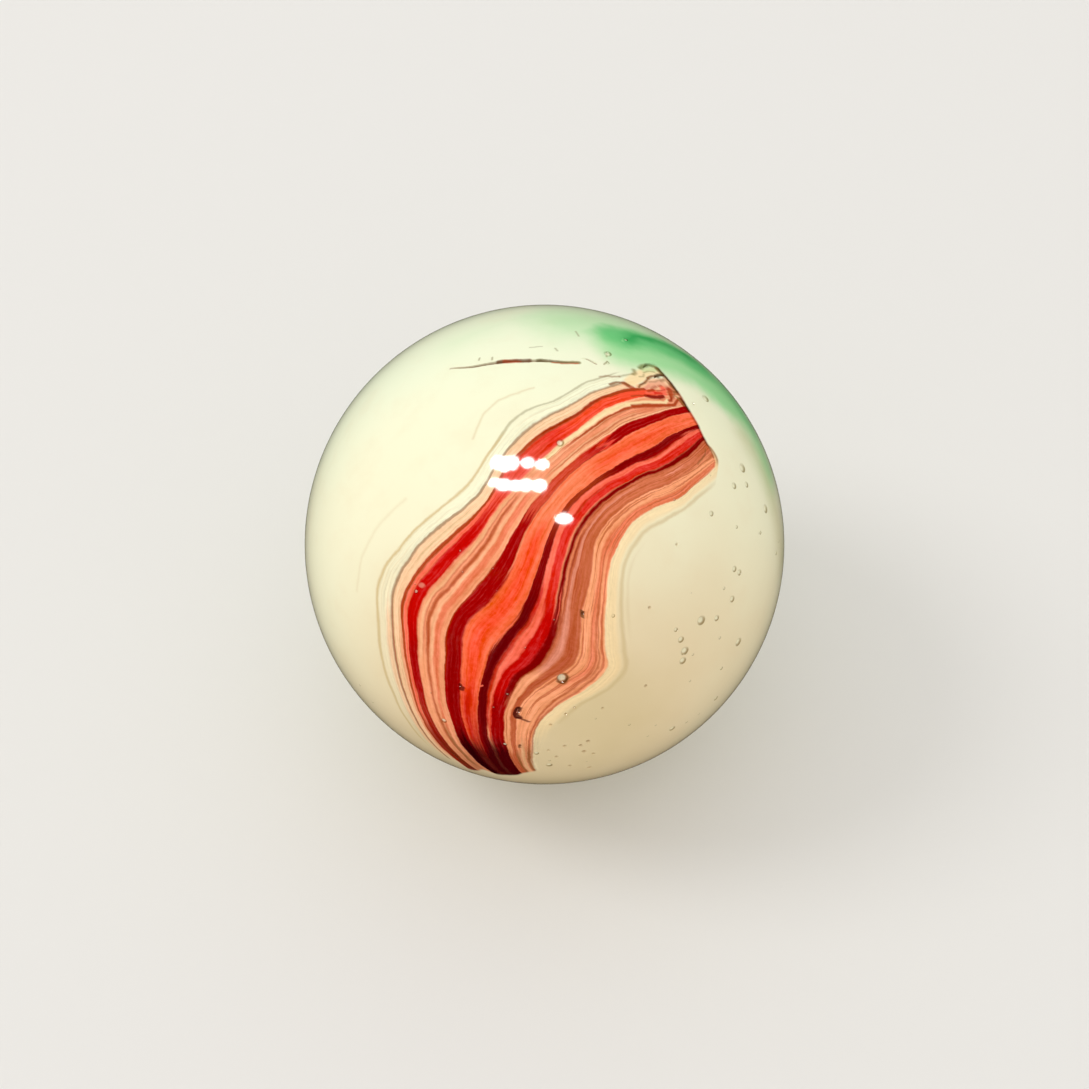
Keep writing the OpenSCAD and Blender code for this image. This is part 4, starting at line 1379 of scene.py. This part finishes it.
@dataclass(frozen=True)
class CreamGlass:
    """The base glass: cream, milkier towards the lit side and beige and olive towards the shaded side, partly
    the glass's own tone and partly painted light and shade, with slow drifts and small beige clouds.

    Args:
        shade_side: The place round which beige and olive gather, on the ball's shaded side, where they are
            partly painted shade. Milk, partly painted light, lies opposite on the lit side.
        drift: How far the drifts wander.
        cloud: How strong the small beige clouds are.
        beige: How strong the beige towards the shaded side is, partly painted shade.
        olive: How strong the olive in the middle of the shaded side is, partly painted shade.
    """

    shade_side: Pair = (148, 44)
    drift: float = 0.6
    cloud: float = 0.1
    beige: float = 0.8
    olive: float = 0.35

    def group(self) -> Tree:
        """Builds the glass as a group.

        Returns:
            A group from Place to Colour.
        """
        wires = Wiring.group("Cream Glass", {"Place": "Vector"}, {"Colour": "Color"})
        place = wires.entry["Place"]
        wander = wires.times(wires.minus(wires.noise(place, 1.3, 3), 0.5), self.drift)
        # How far a place faces the shaded side: milk away from it is partly painted light, beige and olive
        # towards it partly painted shade.
        toward_shade = wires.math("ADD", wires.dot(place, tuple(POLE.place(*self.shade_side))), wander)
        colour = wires.mix(wires.ramp(toward_shade, -0.6, 0.2, 1, 0), Glass.CREAM, Glass.MILK)
        for value, low, high, strength, glass in (
            (wires.noise(place, 6, 4, 0.6), 0.45, 0.75, self.cloud, Glass.BEIGE),
            (toward_shade, 0.1, 1.1, self.beige, Glass.BEIGE),
            (toward_shade, 0.8, 1.1, self.olive, Glass.OLIVE),
        ):
            colour = wires.mix(wires.ramp(value, low, high, 0, strength), colour, glass)
        wires.feed(wires.leave["Colour"], colour)
        return wires.tree


@dataclass(frozen=True)
class GreenPatch:
    """The green glass beside the ribbon's cut end: a deep streak that fades into a pale veil.

    Args:
        smears: Its smears, each laid over those before it.
        ragged: How far their edges wander, in degrees, from end to end.
    """

    smears: tuple[Stroke, ...] = (
        Stroke(Glass.MINT, ((16, 98), (6, 94), (-6, 82), (-18, 68), (-24, 54)), 8, 16, 0.55),
        Stroke(Glass.MINT, ((40, 114), (28, 110), (14, 106)), 0.5, 22, 0.22),
        Stroke(Glass.MINT, ((-8, 72), (-18, 62), (-26, 51)), 3, 12, 0.55),
        Stroke(Glass.MINT, ((12, 84), (5, 80), (-4, 75), (-13, 68)), 8, 8, 0.9),
        Stroke(Glass.GREEN, ((-8, 79), (-16, 70), (-22, 61)), 1, 9, 0.6),
        Stroke(Glass.GREEN, ((11, 88), (5, 86), (-4, 81.6), (-9, 78)), 4.8, 6, 0.9),
        Stroke(Glass.DEEP_GREEN, ((9.5, 85.5), (6, 87), (0, 86), (-8, 81)), 1.4, 5, 0.65),
        Stroke(Glass.DEEP_GREEN, ((9, 85.8), (5, 86.8), (1, 86)), 0.8, 2.5, 0.5),
        Stroke(Glass.MINT, ((10.5, 86.4), (11.5, 85.8)), 0.3, 0.8, 0.8),
        Stroke(Glass.OLIVE, ((-12, 56), (-24, 45), (-36, 38), (-46, 35)), 3, 13, 0.4),
    )
    ragged: float = 7

    def lay(self, pen: Pen, under: Socket, place: Socket) -> Socket:
        """Lays the veil, the patch and the streak over the base glass.

        Args:
            pen: Lays the smears.
            under: The base glass's colour.
            place: The unit direction of the place.

        Returns:
            The colour with the green laid on.
        """
        drift = pen.wires.noise(place, 4, 3, 0.6)
        ragged = pen.wires.times(pen.wires.minus(drift, 0.5), self.ragged)
        return pen.lay(under, self.smears, ragged, self.ragged / 2)


@dataclass(frozen=True)
class Skin:
    """What lies in the marble's skin: bubbles with a painted highlight and painted shade, dirt in the pits,
    painted shade in the open bubbles' hollows and the crease, and slow waves.

    Args:
        top: The way that the light comes from. The painted shade on a bubble's ring is darkest on the side
            away from it and faintest on this side.
        middle: Where a bubble's pale middle, a painted highlight, begins to fade and has faded, in shares of
            its radius.
        ring: Where its dark ring, a faint outline with painted shade on the side away from the light, begins
            and ends.
        ring_soft: Half the width over which the ring fades.
        pale: How strong the painted highlight in the middle of a small and of a large bubble is.
        dark: How dark the ring's painted shade is on its shaded and on its lit side.
        large: The sizes in millimetres of those two bubbles.
        closed: The sizes between which a bubble turns from closed to open.
        dome: How far a closed bubble swells, as a share of its radius.
        dirt: How dark a hollow is painted: dirt in the pits, and painted shade on the walls of the open
            bubbles and in the crease and the folds.
        dirty: How deep in millimetres a hollow is where that dirt and painted shade are darkest, and where
            they begin.
        waviness: Height of the slow waves, in millimetres.
    """

    top: tuple[float, float, float] = (-0.6, 0.3, 0.74)
    middle: Pair = (0.5, 0.74)
    ring: Pair = (0.64, 0.98)
    ring_soft: float = 0.14
    pale: Pair = (0.15, 0.7)
    dark: Pair = (0.8, 0.12)
    large: Pair = (0.1, 0.2)
    closed: Pair = (0.12, 0.125)
    dome: float = 0.3
    dirt: float = 0.6
    dirty: Pair = (0.06, 0.006)
    waviness: float = 0.003

    def group(self, radius: float) -> Tree:
        """Builds the skin as a group.

        Args:
            radius: The ball's radius in metres.

        Returns:
            A group that puts out the colour with all of them, and the bump's height in metres.
        """
        inputs = {"Colour": "Color", "Position": "Vector", "Place": "Vector", "Bubble Centre": "Vector",
                  "Bubble Size": "Float"}
        wires = Wiring.group("Marble Skin", inputs, {"Colour": "Color", "Height": "Float"})
        entry = wires.entry
        position, centre, size = entry["Position"], entry["Bubble Centre"], entry["Bubble Size"]
        half = wires.times(size, 0.5)
        out = wires.math("DIVIDE", wires.vector("DISTANCE", position, centre, out="Value"), half)
        side = wires.math("DIVIDE", wires.dot(wires.vector("SUBTRACT", position, centre), self.top), half)
        # Painted highlight: a pale middle in each bubble, stronger in the larger ones.
        inside = wires.ramp(out, *self.middle, 1, 0)
        large = wires.ramp(size, *(limit * MM for limit in self.large))
        pale = wires.times(inside, wires.ramp(large, 0, 1, *self.pale))
        # A faint dark ring round each bubble, with painted shade on the side away from the light.
        ring = wires.window(out, *self.ring, self.ring_soft)
        dark = wires.times(ring, wires.ramp(side, -0.8, 0.6, *self.dark))
        colour = wires.mix(pale, entry["Colour"], Glass.CREAM)
        colour = wires.mix(dark, colour, Glass.KHAKI, "MULTIPLY")
        # Darker with depth in the hollows: dirt in the pits, painted shade on the walls of the open bubbles
        # and in the crease and the folds.
        depth = wires.vector("LENGTH", position, out="Value")
        hollow_dirt_and_shade = wires.ramp(depth, *(radius - deep * MM for deep in self.dirty), self.dirt, 0)
        hollow_dirt_and_shade = wires.times(hollow_dirt_and_shade, wires.minus(1, inside))
        wires.feed(wires.leave["Colour"], wires.mix(hollow_dirt_and_shade, colour, Glass.BROWN, "MULTIPLY"))
        closed = wires.ramp(size, *(limit * MM for limit in self.closed), self.dome, 0)
        dome = wires.times(wires.ramp(out, 0, 1, 1, 0), closed)
        waves = wires.fit(wires.noise(entry["Place"], 38), 0.18, wires.noise(entry["Place"], 5))
        wires.feed(wires.leave["Height"], wires.fit(waves, self.waviness * MM, wires.times(dome, half)))
        return wires.tree


@dataclass(frozen=True)
class SwirledGlass:
    """The marble's glass: fire polished, opaque, with its ribbon, green patch, bubbles and dirt, and with
    painted light and shade on its bubbles, in its hollows and across its cream.

    Args:
        radius: The ball's radius in metres.
        roughness: Roughness of the polished skin.
        index: How much glass bends light.
        gloss: How strongly the skin mirrors, against plain glass at 0.5.
        cream: The base glass.
        green: The green patch.
        ribbon: The ribbon.
        skin: The skin.
        crease_stain: The dirt along the crease and the folds, and in the scratches beside them.
    """

    radius: float
    roughness: float = 0.06
    index: float = 1.5
    gloss: float = 0.32
    cream: CreamGlass = CreamGlass()
    green: GreenPatch = GreenPatch()
    ribbon: Ribbon = Ribbon()
    skin: Skin = Skin()
    crease_stain: tuple[Stroke, ...] = (
        Stroke(Glass.BROWN, ((40.8, 97.3), (38.2, 94.7), (36, 92.1)), 0.65, 0.6, 0.85),
        Stroke(Glass.RUST, ((39.8, 96.3), (37.4, 93.8)), 0.55, 0.5, 0.9),
        Stroke(Glass.KHAKI, ((34.6, 90.6), (32.8, 88.7), (30.5, 86), (28, 84)), 0.52, 0.6, 0.85),
        Stroke(Glass.RUST, ((32.6, 88), (30.6, 85.8), (28.4, 83.9)), 0.22, 0.4, 0.8),
        Stroke(Glass.BROWN, ((41, 97.4), (42.2, 98.7), (45.5, 102), (48.2, 106.4)), 0.22, 0.5, 0.6),
        Stroke(Glass.BROWN, ((24.8, 81.4), (25.6, 83.9)), 0.16, 0.4, 0.7),
        Stroke(Glass.KHAKI, ((42.1, 102.4), (42.7, 102)), 0.22, 0.4, 0.6),
        Stroke(Glass.KHAKI, ((40.4, 99.8), (41, 99.2)), 0.22, 0.4, 0.6),
        Stroke(Glass.KHAKI, ((32.4, 95.6), (30.2, 93.7)), 0.14, 0.4, 0.55),
        Stroke(Glass.KHAKI, ((28.5, 91.2), (28.8, 90.2)), 0.22, 0.5, 0.55),
        Stroke(Glass.KHAKI, ((19.2, 93.8), (20.4, 91.6)), 0.18, 0.5, 0.55),
        Stroke(Glass.KHAKI, ((21.8, 80.8), (23.2, 80.4)), 0.2, 0.5, 0.7),
        Stroke(Glass.KHAKI, ((19.2, 83.4), (20.6, 82.2)), 0.2, 0.5, 0.6),
        Stroke(Glass.TAN, ((41.5, 85), (45, 86.5), (49, 88.6), (54, 88.8), (60, 86.5)), 0.15, 1, 0.6),
        Stroke(Glass.TAN, ((80, 92), (88, 95.5), (98, 97), (106, 95.5)), 0.15, 1.4, 0.35),
    )

    @staticmethod
    def pole_group() -> Tree:
        """Builds the group that gives a position its turn and tilt round the pole, a little wavered.

        Returns:
            A group from Position to Turn, Tilt and the unit vector Place.
        """
        outputs = {"Turn": "Float", "Tilt": "Float", "Place": "Vector"}
        wires = Wiring.group("Pole Coordinates", {"Position": "Vector"}, outputs)
        place = wires.vector("NORMALIZE", wires.entry["Position"])
        turn, tilt = POLE.measure(wires, place)
        slow, quick = wires.noise(place, 9, 3), wires.noise(place, 60)
        wander = wires.minus(wires.fit(quick, 0.25, slow), 0.625)
        wires.feed(wires.leave["Turn"], wires.fit(wander, -0.7, turn))
        wires.feed(wires.leave["Tilt"], wires.math("ADD", tilt, wander))
        wires.feed(wires.leave["Place"], place)
        return wires.tree

    def build(self) -> dict[Zone | None, Material]:
        """Makes the marble's materials.

        Returns:
            The glass of the plain part of the ball, under None, and that of each zone.
        """
        groups = {
            "pole": self.pole_group(), "cream": self.cream.group(), "skin": self.skin.group(self.radius),
            "stretch": Pen.stretch_group(), "ladder": self.ribbon.ladder(), "flow": self.ribbon.flow_group(),
        }
        return {zone: self.material(zone, groups) for zone in (None, *ZONES)}

    def material(self, zone: Zone | None, groups: dict[str, Tree]) -> Material:
        """Makes the material of one zone, or of the plain part of the ball.

        Args:
            zone: The zone, or None.
            groups: The shared groups by name.

        Returns:
            The material.
        """
        material = bpy.data.materials.new(zone.name if zone else "cream_glass")
        material.use_nodes = True
        material.node_tree.nodes.clear()
        wires = Wiring(material.node_tree)
        position = wires.call("ShaderNodeTexCoord", {}, "Object")
        pole = wires.place(groups["pole"], Position=position)
        colour = wires.place(groups["cream"], Place=pole["Place"])["Colour"]
        if zone:
            place = (pole["Turn"], pole["Tilt"])
            pen = Pen(wires, groups["stretch"], zone, place, Pen.ON_BALL)
            colour = self.green.lay(pen, colour, pole["Place"])
            if zone.turns[1] > self.ribbon.cut.low:
                colour = self.ribbon.lay(pen, colour, place, groups)
            colour = pen.lay(colour, self.crease_stain)
        centre = wires.call("ShaderNodeAttribute", {}, "Vector", attribute_name="bubble_centre")
        size = wires.call("ShaderNodeAttribute", {}, "Fac", attribute_name="bubble_size")
        inputs = {"Colour": colour, "Position": position, "Place": pole["Place"]}
        skin = wires.place(groups["skin"], **inputs, Bubble_Centre=centre, Bubble_Size=size)
        inputs = {"Strength": 1, "Distance": 1, "Height": skin["Height"]}
        bump = wires.call("ShaderNodeBump", inputs, "Normal")
        inputs = {"Base Color": skin["Colour"], "Roughness": self.roughness, "IOR": self.index,
                  "Specular IOR Level": self.gloss, "Normal": bump}
        shader = wires.call("ShaderNodeBsdfPrincipled", inputs)
        wires.feed(wires.node("ShaderNodeOutputMaterial").inputs["Surface"], shader)
        LOG.info("%s: %d nodes", material.name, len(material.node_tree.nodes))
        return material


# ---- The studio ----


@dataclass(frozen=True)
class View:
    """The camera: its height over the level, its distance in ball radii and how much it takes in.

    Args:
        elevation: Degrees that the camera looks down.
        distance: Distance from the ball's centre, in ball radii.
        share: The ball's share of the picture's width.
        sensor: Width of the camera's sensor, in millimetres.
        far: How far the camera sees, in metres.
    """

    elevation: float = 55
    distance: float = 14
    share: float = 0.4405
    sensor: float = 36
    far: float = 10

    def axes(self) -> Matrix:
        """Works out which way the camera looks.

        Returns:
            The camera's own axes as columns: right, up and back towards it.
        """
        rise, level = math.sin(math.radians(self.elevation)), math.cos(math.radians(self.elevation))
        return Matrix(((1, 0, 0), (0, rise, level), (0, -level, rise))).transposed()

    def build(self, radius: float) -> Object:
        """Makes the camera and gives it to the scene.

        Args:
            radius: The ball's radius in metres.

        Returns:
            The camera.
        """
        data = bpy.data.cameras.new("camera")
        half_seen = math.tan(math.asin(1 / self.distance)) / self.share
        data.sensor_width, data.lens = self.sensor, self.sensor / 2 / half_seen
        data.clip_start, data.clip_end = radius, self.far
        camera = add_object("camera", data)
        axes = self.axes()
        camera.matrix_world = Matrix.Translation(axes.col[2] * self.distance * radius) @ axes.to_4x4()
        bpy.context.scene.camera = camera
        return camera


@dataclass(frozen=True)
class Panel:
    """A small bright oval that shows only as a highlight, placed by where the ball mirrors it to the camera.

    Args:
        right: The mirrored spot's distance right of the ball's middle, in ball radii.
        up: Its distance above the middle.
        width: The mirrored spot's width, in ball radii.
        height: Its height.
    """

    right: float
    up: float
    width: float
    height: float


@dataclass(frozen=True)
class Studio:
    """A plain pale floor, pale surroundings, a soft lamp overhead and small panels for the highlights.

    Args:
        view: The camera.
        reach: Distance of the lamp and the panels, in metres.
        air_colour: Colour of the surroundings.
        air_glow: Their strength.
        floor_colour: The floor's colour.
        floor_size: The floor's width, in metres.
        floor_roughness: The floor's roughness.
        floor_gloss: How strongly it mirrors.
        lamp_place: Where the ball would mirror the lamp, right of its middle and above it, in ball radii.
        lamp_size: Width of the soft lamp, in metres.
        lamp_power: Its light, in watts.
        panel_glow: The panels' brightness, where 1 is white.
        panels: The panels.
    """

    view: View
    reach: float = 0.6
    air_colour: tuple[float, float, float] = (1, 0.985, 0.96)
    air_glow: float = 0.95
    floor_colour: tuple[float, float, float] = (0.76, 0.75, 0.73)
    floor_size: float = 4
    floor_roughness: float = 0.9
    floor_gloss: float = 0.1
    lamp_place: Pair = (-0.36, 0.26)
    lamp_size: float = 0.25
    lamp_power: float = 0.75
    panel_glow: float = 52
    panels: tuple[Panel, ...] = (
        Panel(-0.192, 0.328, 0.054, 0.058), Panel(-0.16, 0.322, 0.058, 0.07),
        Panel(-0.128, 0.328, 0.056, 0.064), Panel(-0.068, 0.328, 0.052, 0.05),
        Panel(-0.01, 0.321, 0.054, 0.046), Panel(-0.202, 0.25, 0.05, 0.034),
        Panel(-0.165, 0.24, 0.06, 0.052), Panel(-0.118, 0.236, 0.058, 0.046),
        Panel(-0.072, 0.238, 0.056, 0.054), Panel(-0.022, 0.236, 0.066, 0.058),
        Panel(-0.095, 0.241, 0.19, 0.026), Panel(0.078, 0.104, 0.076, 0.046),
    )

    def hang(self, name: str, right: float, up: float, width: float, height: float, watts: float) -> Object:
        """Hangs one oval light so that it faces the ball.

        Args:
            name: The light's name.
            right: Where the ball mirrors it, right of the ball's middle, in ball radii.
            up: The same, above the middle.
            width: Its width in metres.
            height: Its height in metres.
            watts: Its power.

        Returns:
            The light.
        """
        normal = Vector((right, up, math.sqrt(1 - right**2 - up**2)))
        mirrored = normal * (2 * normal.z) - Vector((0, 0, 1))
        direction = (self.view.axes() @ mirrored).normalized()
        data = bpy.data.lights.new(name, "AREA")
        data.shape, data.size, data.size_y, data.energy = "ELLIPSE", width, height, watts
        light = add_object(name, data)
        top = direction.cross(self.view.axes().col[0]).normalized()
        axes = Matrix((top.cross(direction), top, direction)).transposed()
        light.matrix_world = Matrix.Translation(direction * self.reach) @ axes.to_4x4()
        return light

    def lights(self) -> None:
        """Hangs the soft lamp, which the glass doesn't mirror, and the panels, which it only mirrors."""
        lamp = self.hang("soft_lamp", *self.lamp_place, self.lamp_size, self.lamp_size, self.lamp_power)
        lamp.visible_glossy = False
        for index, panel in enumerate(self.panels, 1):
            width, height = 2 * panel.width * self.reach, 2 * panel.height * self.reach
            watts = self.panel_glow * math.pi * width * height * math.pi / 4
            self.hang(f"panel_{index}", panel.right, panel.up, width, height, watts).visible_diffuse = False

    def floor(self, level: float) -> Object:
        """Lays the floor.

        Args:
            level: The floor's height in metres.

        Returns:
            The floor.
        """
        half = self.floor_size / 2
        mesh = bpy.data.meshes.new("floor")
        corners = ((-half, -half), (half, -half), (half, half), (-half, half))
        mesh.from_pydata([(*corner, level) for corner in corners], [], [(0, 1, 2, 3)])
        material = bpy.data.materials.new("floor")
        material.use_nodes = True
        inputs = material.node_tree.nodes["Principled BSDF"].inputs
        inputs["Base Color"].default_value = (*self.floor_colour, 1)
        inputs["Roughness"].default_value = self.floor_roughness
        inputs["Specular IOR Level"].default_value = self.floor_gloss
        mesh.materials.append(material)
        floor = add_object("floor", mesh)
        floor.visible_glossy = False
        return floor

    def surroundings(self) -> None:
        """Makes the world a plain pale light, which the glass doesn't mirror."""
        world = bpy.data.worlds.new("surroundings")
        bpy.context.scene.world = world
        world.use_nodes = True
        inputs = world.node_tree.nodes["Background"].inputs
        inputs["Color"].default_value = (*self.air_colour, 1)
        inputs["Strength"].default_value = self.air_glow
        world.cycles_visibility.glossy = False

    def build(self, level: float) -> None:
        """Makes the whole studio round the ball.

        Args:
            level: The floor's height in metres.
        """
        self.floor(level)
        self.surroundings()
        self.lights()
        LOG.info("studio: a soft lamp and %d panels", len(self.panels))


def main() -> None:
    """Builds the marble, then the studio and the camera."""
    logging.basicConfig(level=logging.INFO, format="%(name)s: %(message)s", stream=sys.stdout)
    low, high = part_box("glass_ball")
    radius = (high[2] - low[2]) / 2
    view = View()
    view.build(radius)
    body = PittedBall(radius).build(SwirledGlass(radius).build())
    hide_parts("glass_ball")
    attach(body, "root")
    Studio(view).build(low[2])
    bpy.context.scene.view_settings.view_transform = "Standard"


if __name__ == "__main__":
    main()
